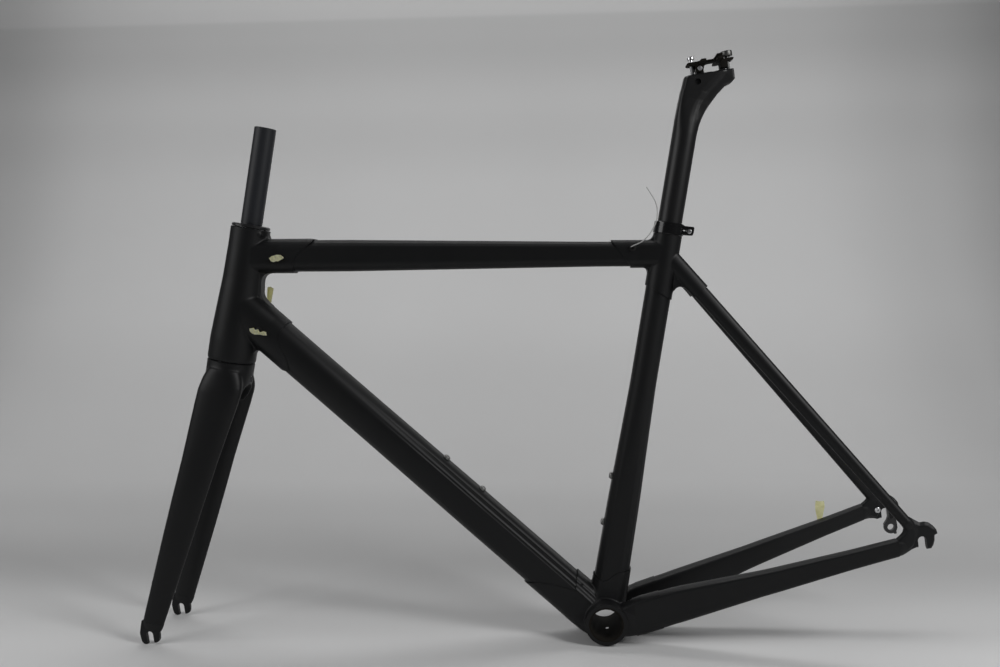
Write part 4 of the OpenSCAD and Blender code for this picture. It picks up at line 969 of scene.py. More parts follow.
def make_dropout(side, name, node):
    rise = DROPOUT_RISE[side]
    middle = side * DROPOUT_Y
    wide, narrow = dropout_outline(rise, -0.4, -0.4), dropout_outline(rise, 1.6, 4)
    blade = layered_plate("dropout_blade", [(-3.5, narrow), (-1.1, wide), (1.1, wide), (3.5, narrow)])
    lay(blade, Matrix.Translation((0, middle, 0)))
    parts = [blade]
    lower = draw_tube("lower_root", [
        (x, oval(depth, width, 2.6), BB_DROP + rise + raised, -middle)
        for x, depth, width, raised in (
            (373.2, 11, 7.5, 0), (378, 10.6, 7, 0.4), (383, 9.2, 5.8, 1), (388, 7.4, 4.4, 1.6),
            (392, 5.5, 3.4, 2))])
    parts.append(moved(lower, CHAINSTAY, LEVEL))
    upper = draw_tube("upper_root", [
        (STAY_LENGTH - back, oval(depth, width, 2.4), 0, -middle) for back, depth, width in (
            (31, 7, 6.5), (25, 7.2, 6.3), (19, 7.2, 5.4), (13, 7, 4.2), (8, 6.6, 3.2))])
    parts.append(moved(upper, SEATSTAY, LEVEL))
    x, z = REAR_AXLE.x, REAR_AXLE.z
    pad = plate("dropout_pad", [(x + a, z + b) for a, b in (
        (-30, rise - 9.6), (-21, rise - 5.8), (-12, -5.5), (-8, 2), (-6.5, 10), (-7.4, 18), (-11, 25),
        (-16, 29.5), (-20.8, rise + 32.5), (-18.8, rise + 27), (-18, rise + 22.6), (-19.8, rise + 19),
        (-24, rise + 14.8), (-30, rise + 11))], *((-74, -65) if side < 0 else (63, 72)))
    ease_edges(pad, 2.6, 4, 50)
    parts.append(pad)
    piece = fuse(name, parts, 0.6, 7)
    cut_axle_slot(piece, REAR_AXLE, REAR_SLOT_HALF, middle, 20)
    if side > 0:
        cut(piece, cross_rod("hanger_bolt_hole", HANGER_BOLT_X, HANGER_BOLT_Z, 2.6, 40, 90))
        cut(piece, cross_rod("hanger_bolt_seat", HANGER_BOLT_X, HANGER_BOLT_Z, 4.6, 50, 65))
    hang(piece, "frame", [node], SATIN_BLACK, LEVEL, 40)


def make_hanger():
    x, z = REAR_AXLE.x, REAR_AXLE.z
    arm = plate("derailleur_hanger_skin", [(x + a, z + b) for a, b in (
        (-14, 8), (-6, 13), (6, 13.5), (14, 9), (15, 0), (16.2, -16), (16.6, -24), (7.5, -26),
        (-1.6, -21), (-0.4, -15), (1, -9), (-1, -5), (-6.2, -2.5), (-10, -1.6))], HANGER_IN, HANGER_OUT)
    parts = [arm, cross_rod("bolt_boss", HANGER_BOLT_X, HANGER_BOLT_Z, 6, HANGER_IN, HANGER_OUT),
             cross_rod("hanger_eye", x + 7.5, z - 25, 9.2, HANGER_IN, HANGER_OUT),
             block("stop_nub", (x + 10.5, HANGER_IN, z - 35), (x + 14.5, HANGER_OUT, z - 27))]
    hanger = fuse("derailleur_hanger_skin", parts, 0.5, 3)
    cut(hanger, cross_rod("eye_thread", x + 7.5, z - 25, 4.6, 60, 90))
    cut(hanger, cross_rod("axle_end", x, z, REAR_SLOT_HALF, 60, 90))
    cut(hanger, plate("hanger_slot", [
        (x - 13.2, z - 22), (x - 13.2, z - 4), (x - REAR_SLOT_HALF, z), (x + REAR_SLOT_HALF, z),
        (x + REAR_SLOT_HALF, z - 10), (x + 3.4, z - 14), (x - 1.8, z - 21)], 60, 90))
    cut(hanger, cross_rod("hanger_bolt_bore", HANGER_BOLT_X, HANGER_BOLT_Z, 2.6, 60, 90))
    hang(hanger, "frame", ["derailleur_hanger"], BLACK_ALLOY, LEVEL, 40)


# Fork and headset cover
def blade_station(side, share):
    offset = -FORK_RAKE * max(0.0, (share - 0.09) / 0.91)
    y = along_table(share, [(0.02, 19), (0.1, 28), (0.5, 41.5), (0.96, TIP_Y)])
    depth = along_table(share, [
        (0, 18), (0.03, 22), (0.06, 26.8), (0.1, 29.4), (0.16, 28.6), (0.36, 24), (0.65, 20), (0.96, 14.5)])
    width = along_table(share, [(0.02, 14.5), (0.1, 11.5), (0.5, 8.5), (0.96, 5.5)])
    return -FORK_LENGTH * share, oval(depth, width, 2.2), offset, side * y


def make_fork_shell():
    crown = draw_tube("crown_form", [
        (z, oval(half_x, half_y, fullness), 0, 0) for z, half_x, half_y, fullness in (
            (4, HEAD_LOW_RADIUS, HEAD_LOW_RADIUS, 2), (CROWN_TOP, HEAD_LOW_RADIUS, HEAD_LOW_RADIUS, 2),
            (-8, 31.5, 32.3, 2), (-16, 31.1, 34.3, 2), (-26, 30.6, 37.2, 2.1), (-36, 29.6, 39, 2.2),
            (-46, 26.5, 39.5, 2.2), (-56, 20, 38.5, 2.2))])
    half_arch = [(18.4, -70), (18.2, -57), (16.6, -42), (15.4, -36.5), (12.5, -32.5), (7, -30.3)]
    arch = plate("crown_arch", half_arch + [(0, -29.8)] + [(-y, z) for y, z in reversed(half_arch)], -60, 60)
    cut(crown, lay(arch, Matrix.Rotation(math.pi / 2, 4, "Z")))
    parts = [crown]
    for side in (-1, 1):
        parts.append(draw_tube("fork_blade_form", [
            blade_station(side, share) for share in spaced(0.03, 0.975, 48)]))
    shell = fuse("fork_shell", parts, 1.15, 9)
    slice_off(shell, (0, 0, CROWN_TOP), (0, 0, 1))
    slice_off(shell, (0, 0, -FORK_LENGTH * 0.955), (0, 0, -1))
    cut(shell, rim_chamfer("crown_chamfer", HEAD_LOW_RADIUS, CROWN_TOP, 0.9))
    cut(shell, turned("steerer_socket", [(19.95, -15.2), (19.95, 2)], 96))
    cut(shell, turned("crown_hollow", [(9, -60), (9, -15)], 48))
    hole = turned("brake_hole", [(5.15, -60), (5.15, 60)], 48)
    cut(shell, lay(hole, Matrix.Translation((0, 0, BRAKE_HOLE_Z)) @ Matrix.Rotation(math.pi / 2, 4, "Y")))
    nodes = ["fork_crown", "left_fork_blade", "right_fork_blade"]
    hang(shell, "fork", nodes, SATIN_BLACK, HEAD, 40)


def make_fork_tip(side, name, node):
    x, z = FRONT_AXLE.x, FRONT_AXLE.z
    middle = side * TIP_Y
    top = 17 * HEAD_DIR
    left, right = top - 14.2 * HEAD_BACK, top + 14.2 * HEAD_BACK
    half = [(13.4, 4), (13, -4), (12.2, -8.2), (10.4, -11), (7.6, -12.1), (3, -12)]
    corners = [(left.x, left.z), (right.x, right.z)] + half + [(-a, b) for a, b in reversed(half)]
    blade = plate("tip_blade", [(x + a, z + b) for a, b in corners], middle - 3, middle + 3)
    ease_edges(blade, 0.7, 3, 50)
    root = draw_tube("tip_root", [
        (drop, oval(depth, width, 2.2), shift, middle) for drop, depth, width, shift in (
            (-360.1, 14.6, 5.5, -36), (-363, 14.5, 5.1, -36.4), (-367, 14, 4.2, -36.9),
            (-371, 13, 3.2, -37.3))])
    tip = fuse(name, [blade, moved(root, HEAD, LEVEL)], 0.45, 4)
    cut_axle_slot(tip, FRONT_AXLE, FRONT_SLOT_HALF, middle, 9)
    hang(tip, "fork", [node], SATIN_BLACK, LEVEL, 40)


def make_steerer():
    tube = turned("steerer_skin", [
        (19.5, CROWN_TOP), (19.9, -0.6), (19.9, 21.4), (19.2, 22.4), (13.95, 22.6), (13.95, 186.2),
        (STEERER_RADIUS, 186.3), (STEERER_RADIUS, 314), (13.8, 314.5)], 96)
    cut(tube, turned("steerer_bore", [(11.6, -5), (11.6, 320)], 64))
    hang(tube, "fork", ["steerer"], RAW_COMPOSITE, HEAD)


def make_headset_cover():
    cover = turned("headset_cover_skin", [
        (24.4, 180.6), (25.4, 181.4), (25.4, 183.2), (24.6, 184.3), (22.6, 184.8), (17.5, 185)], 96)
    cut(cover, turned("cover_bore", [(14.6, 175), (14.6, 190)], 96))
    hang(cover, "fork", ["headset_cover"], BLACK_ALLOY, HEAD, 30)


# Seatpost, its head and the saddle clamp
POST_SWEEP = [
    (377, 15.8, 15.8, 15.8, 9, 0), (380, 15.8, 15.8, 15.8, 9, 0), (520, 15.8, 15.8, 15.8, 9, 0),
    (636, 15.8, 15.8, 15.8, 9, 0), (648, 15.8, 15.8, 15.7, 9, 0.05), (662, 15.8, 16.8, 15.1, 8.6, 0.3),
    (670, 15.5, 18.5, 14.4, 9.2, 0.55), (679, 15.1, 21, 13.5, 11, 0.85), (686, 14.8, 24, 12.8, 12.9, 1),
    (692, 14.5, 27, 12.2, 15.2, 1), (702, 14, 32.3, 11.8, 20.8, 1)]
HEAD_EDGE = [
    (190.6, 661), (201.8, 689.6), (205.2, 690.6), (214, 691), (230, 691), (249, 691), (256, 690.8),
    (265, 690.6), (264.8, 677.4), (259.8, 673), (252, 670.6), (236, 658), (228, 650)]
HEAD_BAND = [
    (191.8, 661.6), (202.6, 688.8), (205.6, 690), (214, 690.4), (230, 690.4), (249, 690.4),
    (256, 690.2), (263.6, 689.4), (263.2, 678), (258.8, 674.8), (251.4, 672.2), (235, 659.4), (226.8, 651)]
HEAD_CREASE = [
    (193, 662), (203.3, 688), (205.7, 689.4), (214, 690), (230, 690), (247, 690), (252, 689.8),
    (255.4, 689.6), (254.8, 687), (247, 679), (236.6, 670), (225.2, 661.6), (217, 652)]
HEAD_SHOULDER = [
    (194, 663), (203.8, 687.4), (206.2, 688.9), (214, 689.4), (230, 689.4), (245, 689.4),
    (249.6, 689.2), (251.6, 689), (251.2, 687.4), (244.4, 681.4), (234.2, 672.6), (222.6, 664.2),
    (214.2, 654.6)]
HEAD_FLAT = [
    (196.8, 666), (205.8, 686), (208.2, 687.6), (215, 688.2), (228, 688.2), (238, 688.2),
    (243.4, 688.2), (245.4, 688), (245, 687), (239.6, 684), (230.2, 676.4), (218.4, 668), (210, 658.4)]
PIN_X, PIN_Z, PIN_BORE = 222.2, 696.8, 3.05


def post_rim(front, rear, half, crease, share):
    """Section of the post: round low down, with a shoulder and a flat band behind it as share goes to 1."""
    profile = [(0, rear, 0), (11, rear, 6), (16, rear - 1.3, half - 3), (45, crease, half - 2.4),
               (58, crease - 3.5, half - 0.7), (72, crease - 8, half), (90, 0, half)]
    rim = []
    for x, y in oval(1, 1, 2):
        if x <= 0:
            edge = oval(front, half, 2 + 3 * share)[len(rim)]
            rim.append(edge)
            continue
        turn = math.degrees(math.atan2(abs(y), x))
        shaped_x = along_table(turn, [(place, a) for place, a, b in profile])
        shaped_y = math.copysign(along_table(turn, [(place, b) for place, a, b in profile]), y)
        rim.append((x * rear * (1 - share) + shaped_x * share, y * half * (1 - share) + shaped_y * share))
    return rim


def make_seatpost():
    post = draw_tube("seatpost_stem", [(a, post_rim(*section), 0, 0) for a, *section in POST_SWEEP])
    sides = [(11.8, HEAD_FLAT), (11.1, HEAD_SHOULDER), (9.4, HEAD_CREASE), (8.8, HEAD_BAND), (6.5, HEAD_EDGE)]
    head = layered_plate("post_head", [(-y, rim) for y, rim in sides] + sides[::-1])
    post = fuse("seatpost_skin", [post, moved(head, LEVEL, SEAT)], 0.7, 4)
    slice_off(post, (0, 0, 380), (0, 0, -1))
    tongue = plate("post_tongue", [
        (217.2, 684), (217.2, 697), (218.8, 700.4), (222.2, 701.8), (225.6, 700.4), (227.2, 697),
        (227.2, 684)], -5.5, 5.5)
    ease_edges(tongue, 0.6)
    unite(post, moved(tongue, LEVEL, SEAT))
    for cutter in (cross_rod("dish", 239.2, 697.8, 8, -30, 30, 64),
                   cross_rod("side_hole", 217, 680.3, 3.9, -30, 6),
                   cross_rod("pin_hole", PIN_X, PIN_Z, PIN_BORE, -30, 30),
                   block("front_slot", (208.5, -3.5, 684), (217.5, 3.5, 704)),
                   block("front_pocket", (207.2, -8.5, 669), (219.7, 8.5, 686)),
                   block("rear_slot", (254, -3.5, 684), (264, 3.5, 704)),
                   block("rear_pocket", (255, -4.6, 676.9), (263.1, 4.6, 688))):
        cut(post, moved(cutter, LEVEL, SEAT))
    hang(post, "seatpost", ["seatpost"], POST_BLACK, SEAT, 40)


def upright(name, profile, x, sides=48):
    """A turned solid that stands on the level bench at x."""
    return lay(turned(name, profile, sides), Matrix.Translation((x, 0, 0)))


def hex_socket(name, radius, low, high):
    return turned(name, [(radius, low), (radius, high)], 6)


FRONT_BOLT_X, REAR_BOLT_X, RAIL_Z, RAIL_Y = 213.2, 259.0, 706.5, 22.0
RAIL_SEATS = ((222, 229), (243.6, 251))
KNURL_STEP = 5


def cut_rails_and_bolts(piece):
    for side in (-1, 1):
        rail = turned("rail_groove", [(3.5, 190), (3.5, 280)], 48)
        place = Matrix.Translation((0, side * RAIL_Y, RAIL_Z))
        cut(piece, lay(rail, place @ Matrix.Rotation(math.pi / 2, 4, "Y")))
    for x in (FRONT_BOLT_X, REAR_BOLT_X):
        cut(piece, upright("bolt_hole", [(2.6, 670), (2.6, 740)], x, 32))
    return piece


def make_lower_cradle():
    cradle = plate("lower_cradle_skin", [
        (PIN_X - 5.2, PIN_Z), (PIN_X - 3.6, PIN_Z - 3.7), (PIN_X, PIN_Z - 5.2), (PIN_X + 3.6, PIN_Z - 3.7),
        (PIN_X + 5.2, PIN_Z), (227.9, 699.2), (230.5, 702), (234, 703), (244, 703), (247.6, 701.8),
        (248.8, 698), (249, 693.4), (256.5, 692.8), (257.5, 701.5), (265, 701.5), (266, 702.4),
        (266, 703.4), (265, 704.4), (253, 704.4), (251, 706), (208.5, 706), (207, 705.2), (206.6, 703.9),
        (207.4, 702.7), (209, 702.3), (PIN_X - 5.2, 700.5)], -9.2, 9.2)
    ease_edges(cradle, 0.5, 2, 50)
    for low, high in RAIL_SEATS:
        cup = block("rail_cup", (low, -25.4, 701.9), (high, 25.4, 705.8))
        ease_edges(cup, 0.9, 3)
        unite(cradle, cup)
    cut(cradle, block("tongue_gap", (200, -5.75, 680), (231, 5.75, 702.2)))
    cut_rails_and_bolts(cradle)
    cut(cradle, cross_rod("pin_bore", PIN_X, PIN_Z, PIN_BORE, -60, 60))
    hang(cradle, "saddle_clamp", ["lower_cradle"], DULL_BLACK, LEVEL, 40)


def make_upper_clamp():
    clamp = plate("upper_clamp_skin", [
        (207.5, 707), (207.5, 709.2), (209, 710.2), (219, 710.2), (224, 709.2), (247, 709.2),
        (251, 707.2), (264, 707.2), (265, 706.4), (265, 705), (252, 705), (250, 707)], -6, 6)
    ease_edges(clamp, 0.5, 2, 50)
    for low, high in RAIL_SEATS:
        arm = block("clamp_arm", (low, -20.4, 707), (high, 20.4, 709.9))
        ease_edges(arm, 0.9, 3)
        unite(clamp, arm)
    cut_rails_and_bolts(clamp)
    hang(clamp, "saddle_clamp", ["upper_clamp"], DULL_BLACK, LEVEL, 40)


def make_clamp_bolts():
    front = upright("front_clamp_bolt_skin", [
        (2.1, 672), (2.5, 672.6), (2.5, 710.2), (4.2, 710.21), (4.6, 710.7), (4.6, 713.3), (4.2, 714),
        (3.2, 714.4)], FRONT_BOLT_X)
    cut(front, lay(hex_socket("front_key", 2.0, 711.8, 720), Matrix.Translation((FRONT_BOLT_X, 0, 0))))
    hang(front, "saddle_clamp", ["front_clamp_bolt"], BRIGHT_STEEL)
    rear = upright("rear_clamp_bolt_skin", [
        (2.1, 675), (2.5, 675.6), (2.5, 707.2), (5, 707.21), (6.9, 707.5), (7.4, 708.1), (7.4, 713.2),
        (6.8, 714.1), (3, 714.4)], REAR_BOLT_X, 360 // KNURL_STEP)
    for vert in rear.data.vertices:
        if 707.8 < vert.co.z < 713.8:
            spoke = Vector((vert.co.x - REAR_BOLT_X, vert.co.y, 0))
            turn = math.degrees(math.atan2(spoke.y, spoke.x))
            share = 0.955 if round(turn / KNURL_STEP) % 2 else 1.0
            vert.co.x = REAR_BOLT_X + spoke.x * share
            vert.co.y = spoke.y * share
    cut(rear, lay(hex_socket("rear_key", 2.0, 712.2, 720), Matrix.Translation((REAR_BOLT_X, 0, 0))))
    hang(rear, "saddle_clamp", ["rear_clamp_bolt"], DARK_STEEL)


def make_clamp_nuts():
    nuts = []
    for x, z, radius, half in ((FRONT_BOLT_X, 678.0, 3.5, 6.5), (REAR_BOLT_X, 681.5, 3.1, 4)):
        nut = cross_rod("barrel_nut", x, z, radius, -half, half)
        ease_edges(nut, 0.4, 2)
        nuts.append(cut(nut, upright("nut_thread", [(2.55, z - 10), (2.55, z + 10)], x, 32)))
    nuts = join("clamp_barrel_nuts_skin", nuts)
    hang(nuts, "saddle_clamp", ["clamp_barrel_nuts"], GREY_STEEL)
    pin = cross_rod("cradle_pin_skin", PIN_X, PIN_Z, 3, -10.2, 10.2)
    ease_edges(pin, 0.6, 3)
    hang(pin, "saddle_clamp", ["cradle_pin"], RAW_ALLOY)


# Seat collar
def make_collar():
    collar = turned("seat_collar_skin", [(19.15, 516.5), (19.65, 517.1), (19.65, 530.9), (19.15, 531.5)], 96)
    ear = plate("collar_ear", [
        (13, 518.4), (13, 530.2), (20, 530.4), (30.8, 530.8), (32, 529.6), (32, 523), (31, 519.4),
        (22, 518.6)], -8, 8)
    ease_edges(ear, 0.6, 3)
    unite(collar, ear)
    cut(collar, turned("collar_bore", [(17.5, 510), (17.5, 540)], 96))
    cut(collar, block("collar_slot", (0, -1.2, 500), (60, 1.2, 550)))
    cut(collar, plate("ear_window", [(17.6, 523.9), (22.6, 523.2), (22.6, 525.6), (17.6, 524.9)], -30, 30))
    cut(collar, cross_rod("bolt_bore", COLLAR_BOLT_X, COLLAR_BOLT_Z, 2.6, -20, 20))
    cut(collar, cross_rod("nut_bore", COLLAR_BOLT_X, COLLAR_BOLT_Z, 4.1, 4, 20))
    hang(collar, "frame", ["seat_collar"], GLOSS_BLACK, SEAT, 30)


def make_collar_bolt():
    bolt = turned("collar_bolt_skin", [
        (2.1, -7), (2.5, -6.4), (2.5, 7.9), (2.9, 8), (3.1, 8.4), (3.1, 9.8), (2.6, 10.7), (1.9, 11)], 48)
    cut(bolt, hex_socket("bolt_key", 1.5, 9.6, 14))
    place = Matrix.Translation((COLLAR_BOLT_X, 0, COLLAR_BOLT_Z))
    lay(bolt, place @ Matrix.Rotation(math.pi / 2, 4, "X"))
    hang(bolt, "frame", ["collar_bolt"], BRIGHT_STEEL, SEAT)
    nut = cross_rod("collar_nut_skin", COLLAR_BOLT_X, COLLAR_BOLT_Z, 4, 4, 9)
    cut(nut, cross_rod("nut_thread", COLLAR_BOLT_X, COLLAR_BOLT_Z, 2.55, 0, 14))
    ease_edges(nut, 0.3, 2, 50)
    hang(nut, "frame", ["collar_nut"], BRIGHT_STEEL, SEAT)


# Bottle bolts and their inserts
BOTTLE_AXES = [
    DOWN_TUBE @ Matrix.Translation((DOWN_HALF_DEPTH, 0, DOWN_LENGTH - 278 - reach))
    @ Matrix.Rotation(math.pi / 2, 4, "Y")
    for reach in (-32, 32)]
BOTTLE_AXES += [
    SEAT @ Matrix.Translation((-front, 0, height)) @ Matrix.Rotation(-math.pi / 2, 4, "Y")
    for front, height in ((21.31, 124.5), (20.22, 188.5))]


def make_bottle_bolts():
    bolt = turned("bottle_bolt", [
        (2, -6.5), (2.45, -6), (2.45, 1.49), (4.4, 1.5), (4.6, 1.8), (4.6, 2.5), (4.3, 3.3), (3.6, 4.05),
        (2.6, 4.45), (1.9, 4.5)], 48)
    cut(bolt, hex_socket("bottle_key", 1.7, 2.7, 8))
    insert = turned("bottle_insert", [
        (3.4, -9), (3.5, 0.29), (4.7, 0.3), (5, 0.6), (5, 1.2), (4.7, 1.5)], 48)
    cut(insert, turned("insert_thread", [(2.5, -12), (2.5, 6)], 32))
    bolts = copies(bolt, BOTTLE_AXES)
    inserts = copies(insert, BOTTLE_AXES)
    hang(join("bottle_bolts_skin", bolts), "frame", ["bottle_bolts"], GREY_STEEL)
    hang(join("bottle_inserts_skin", inserts), "frame", ["bottle_inserts"], GREY_STEEL)


# Cable ports, pale tape flags and the hanger bolt
PORTS = [
    (-361, 541, -1, 20.6), (-398, 449, -1, 27.2), (-400, 468, 1, 27.2), (104.5, 482.5, -1, 16.6),
    (316, 62, 1, 69.6)]


def make_ports():
    plugs = []
    for x, z, side, reach in PORTS:
        plug = turned("port_plug", [
            (3.5, reach - 3.4), (3.6, reach - 0.2), (4.6, reach - 0.1), (4.5, reach + 0.2),
            (3.9, reach + 0.5), (2.6, reach + 0.7), (1.6, reach + 0.7)], 40)
        cut(plug, turned("port_mouth", [(1.2, reach - 8), (1.2, reach + 6)], 24))
        plugs.append(lay(plug, Matrix.Translation((x, 0, z)) @ Matrix.Rotation(-side * math.pi / 2, 4, "X")))
    hang(join("cable_ports_skin", plugs), "frame", ["cable_ports"], BLACK_PLASTIC)


def slip(name, lower, upper, out, lean, fold):
    """A crumpled slip of tape between two edges of (x, z), standing at y = out and leaning outwards."""
    clear_bench()
    spans = len(lower) - 1
    bpy.ops.mesh.primitive_grid_add(x_subdivisions=6 * spans, y_subdivisions=8, size=2)
    tape = named(bpy.context.object, name)
    for vert in tape.data.vertices:
        u, v = (vert.co.x + 1) / 2 * spans, (vert.co.y + 1) / 2
        i = min(int(u), spans - 1)
        foot = Vector(lower[i]).lerp(Vector(lower[i + 1]), u - i)
        top = Vector(upper[i]).lerp(Vector(upper[i + 1]), u - i)
        spot = foot.lerp(top, v)
        crease = fold * (math.sin(3.1 * u + 2.2 * v) + 0.6 * math.sin(5.3 * v - 2.4 * u + 1))
        vert.co = (spot.x, out + math.copysign(abs(lean * v + crease), out), spot.y)
    return finish_with(tape, "SOLIDIFY", thickness=0.35, offset=0)


def make_flags():
    first = slip(
        "flag",
        [(38.4, -4.6), (40.4, -7.2), (43.4, -8), (46.6, -6.6), (49.4, -7), (53.6, -4.8), (57, -2.8)],
        [(37.8, -2.6), (39.4, -1.6), (41.6, -0.2), (45, 0.8), (48, 1.7), (53.4, 1.1), (57, -1.6)],
        22.2, 1.6, 0.5)
    first = lay(first, TOP_TUBE @ Matrix(((0, 0, 1, 0), (0, 1, 0, 0), (1, 0, 0, 0), (0, 0, 0, 1))))
    second = slip(
        "flag",
        [(28.4, 46.4), (31.6, 44.2), (35, 43.2), (39, 43.8), (43, 44.2), (47, 44), (51.4, 44.8)],
        [(27.8, 49.8), (33, 51.8), (36, 49.6), (39.2, 50.8), (42.4, 47.2), (46.6, 49.6), (50.8, 49)],
        -29.3, 2.2, 0.5)
    third = slip(
        "flag",
        [(29.2, 63), (31.5, 62.4), (33.6, 63.4)],
        [(24.6, 103), (28.4, 104.6), (33, 102.6)],
        29.3, 2.5, 0.5)
    flags = [first, lay(second, HEAD), lay(third, HEAD)]
    fold_line = [(311.4, 84), (318, 83), (324.6, 84)]
    foot = slip("flag", [(312.8, 64), (315.4, 63.2), (317.6, 64)], fold_line, 71.6, 0.6, 0.3)
    head = slip("flag", fold_line, [(313.4, 95.2), (319, 93.6), (325.2, 93.2)], 71.6, 0.8, 0.35)
    flags += [foot, head]
    hang(join("tape_flags_skin", flags), "frame", ["tape_flags"], PALE_TAPE, LEVEL, 60)


def make_hanger_bolt():
    bolt = turned("hanger_bolt_skin", [
        (3.4, 62.8), (4, 63.3), (4, 65), (2.5, 65.01), (2.5, 76), (2.2, 76.9)], 48)
    cut(bolt, hex_socket("hanger_key", 1.7, 60, 64.4))
    place = Matrix.Translation((HANGER_BOLT_X, 0, HANGER_BOLT_Z))
    lay(bolt, place @ Matrix.Rotation(-math.pi / 2, 4, "X"))
    hang(bolt, "frame", ["hanger_bolts"], BRIGHT_STEEL)


# Bottom bracket sleeve and the sleeve of the brake bolt
def make_sleeves():
    sleeve = cross_rod("bracket_sleeve_skin", 0, 0, 23, -SHELL_HALF, SHELL_HALF, 96)
    bore = turned("sleeve_bore", [
        (21.6, -44), (21.4, -43.2), (20.5, -42.2), (20.5, 42.2), (21.4, 43.2), (21.6, 44)], 96)
    cut(sleeve, lay(bore, Matrix.Rotation(math.pi / 2, 4, "X")))
    cut(sleeve, turned("screw_hole", [(2.7, -30), (2.7, 0)], 32))
    hang(sleeve, "frame", ["bb_sleeve"], DULL_BLACK, LEVEL, 30)
    half = 30
    tube = turned("brake_sleeve_skin", [(4.4, -half), (5, -half + 0.5), (5, half - 0.5), (4.4, half)], 48)
    cut(tube, turned("sleeve_hole", [(3, -half - 5), (3, 6), (4, 6.01), (4, half + 5)], 40))
    lay(tube, Matrix.Translation((0, 0, BRAKE_HOLE_Z)) @ Matrix.Rotation(math.pi / 2, 4, "Y"))
    hang(tube, "fork", ["crown_brake_sleeve"], RAW_ALLOY, HEAD)


make_top_tube()
make_down_tube()
make_seat_tube()
make_head_lug()
make_seat_lug()
make_shell_lug()
make_chainstay(-1, "left_chainstay_skin", "left_chainstay")
make_chainstay(1, "right_chainstay_skin", "right_chainstay")
make_seatstay(-1, "left_seatstay_skin", "left_seatstay")
make_seatstay(1, "right_seatstay_skin", "right_seatstay")
make_brake_bridge()
make_dropout(-1, "left_dropout_skin", "left_dropout")
make_dropout(1, "right_dropout_skin", "right_dropout")
make_hanger()
make_hanger_bolt()
make_fork_shell()
make_fork_tip(-1, "left_fork_tip_skin", "left_fork_tip")
make_fork_tip(1, "right_fork_tip_skin", "right_fork_tip")
make_steerer()
make_headset_cover()
make_seatpost()
make_lower_cradle()
make_upper_clamp()
make_clamp_bolts()
make_clamp_nuts()
make_collar()
make_collar_bolt()
make_bottle_bolts()
make_ports()
make_flags()
make_sleeves()


# Camera
CAMERA_PLACE = (-0.0577, -1.268, 0.4775)
CAMERA_LENS = 34.369
CAMERA_TURNS = (-3.64, 4.34, -0.64)


def set_camera():
    yaw, pitch, roll = [math.radians(turn) for turn in CAMERA_TURNS]
    ahead = Vector((math.sin(yaw) * math.cos(pitch), math.cos(yaw) * math.cos(pitch), -math.sin(pitch)))
    right = Vector((math.cos(yaw), -math.sin(yaw), 0))
    up = right.cross(ahead)
    turned_right = right * math.cos(roll) + up * math.sin(roll)
    turned_up = up * math.cos(roll) - right * math.sin(roll)
    data = bpy.data.cameras.new("photo_camera")
    data.lens = CAMERA_LENS
    data.sensor_width = 36
    data.sensor_fit = "HORIZONTAL"
    camera = bpy.data.objects.new("photo_camera", data)
    axes = Matrix((turned_right, turned_up, -ahead)).transposed().to_4x4()
    camera.matrix_world = Matrix.Translation(CAMERA_PLACE) @ axes
    bpy.context.scene.collection.objects.link(camera)
    bpy.context.scene.camera = camera


# Loose guide wire, on the route of its solid as it stands, in millimetres
WIRE_ROUTE = [
    (34, -18.6, 494), (38, -21, 496), (42, -23, 497.5), (47, -24.5, 500), (52, -26, 504),
    (57, -27, 509.5), (61, -27.5, 516), (64.5, -28, 523), (66.5, -28, 530), (67, -28, 537),
    (66.5, -28, 544), (64.5, -28, 551), (61, -28, 557.5), (57, -28, 564), (53, -28, 570),
]


def lay_wire():
    curve = bpy.data.curves.new("guide_wire_liner", "CURVE")
    curve.dimensions = "3D"
    curve.bevel_depth = 0.0007
    curve.bevel_resolution = 3
    curve.use_fill_caps = True
    line = curve.splines.new("POLY")
    line.points.add(len(WIRE_ROUTE) - 1)
    for place, point in enumerate(WIRE_ROUTE):
        line.points[place].co = (*(Vector(point) * 0.001), 1)
    wire = bpy.data.objects.new("guide_wire_liner", curve)
    bpy.context.scene.collection.objects.link(wire)
    curve.materials.append(PALE_LINER)
    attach(wire, "frame")
    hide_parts("guide_wire")


# Studio paper: places in metres and the painted light and shade there, as a factor on the paper's colour: a
# brighter floor near the camera, a darker bend, darker left and right ends and a wall that darkens towards
# the top stand in for how the lamps fall
PAPER_PAINTED_SHADE_ACROSS = [
    (-2.2, 0.75), (-1.95, 0.86), (-1.6, 1.03), (-0.7, 0.93), (-0.2, 0.9), (0.75, 1.0), (1.1, 0.9), (1.4, 0.7)]
PAPER_PAINTED_SHADE_BACK = [(-0.25, 1.3), (-0.07, 1.28), (0.05, 1.12), (0.32, 0.84), (0.6, 0.9), (0.95, 1.0)]
PAPER_PAINTED_SHADE_UP = [
    (-0.02, 0.92), (0.12, 0.93), (0.35, 1.0), (0.7, 0.98), (0.96, 0.88), (1.2, 0.68), (1.27, 0.66),
    (1.285, 0.74)]


def split_axes(tree, vector):
    axes = tree.nodes.new("ShaderNodeSeparateXYZ")
    tree.links.new(vector, axes.inputs[0])
    return axes.outputs


def graded(tree, value, steps):
    """A smooth run of values along a place, from steps of (place, value)."""
    low, high = steps[0][0], steps[-1][0]
    share = math_node(tree, "DIVIDE", math_node(tree, "SUBTRACT", value, low), high - low)
    ramp = tree.nodes.new("ShaderNodeValToRGB")
    ramp.color_ramp.interpolation = "EASE"
    marks = ramp.color_ramp.elements
    for place, (spot, tone) in enumerate(steps):
        at = (spot - low) / (high - low)
        mark = marks[0] if place == 0 else marks[-1] if place == len(steps) - 1 else marks.new(at)
        mark.position = at
        mark.color = (tone, tone, tone, 1)
    tree.links.new(share, ramp.inputs[0])
    return ramp.outputs[0]


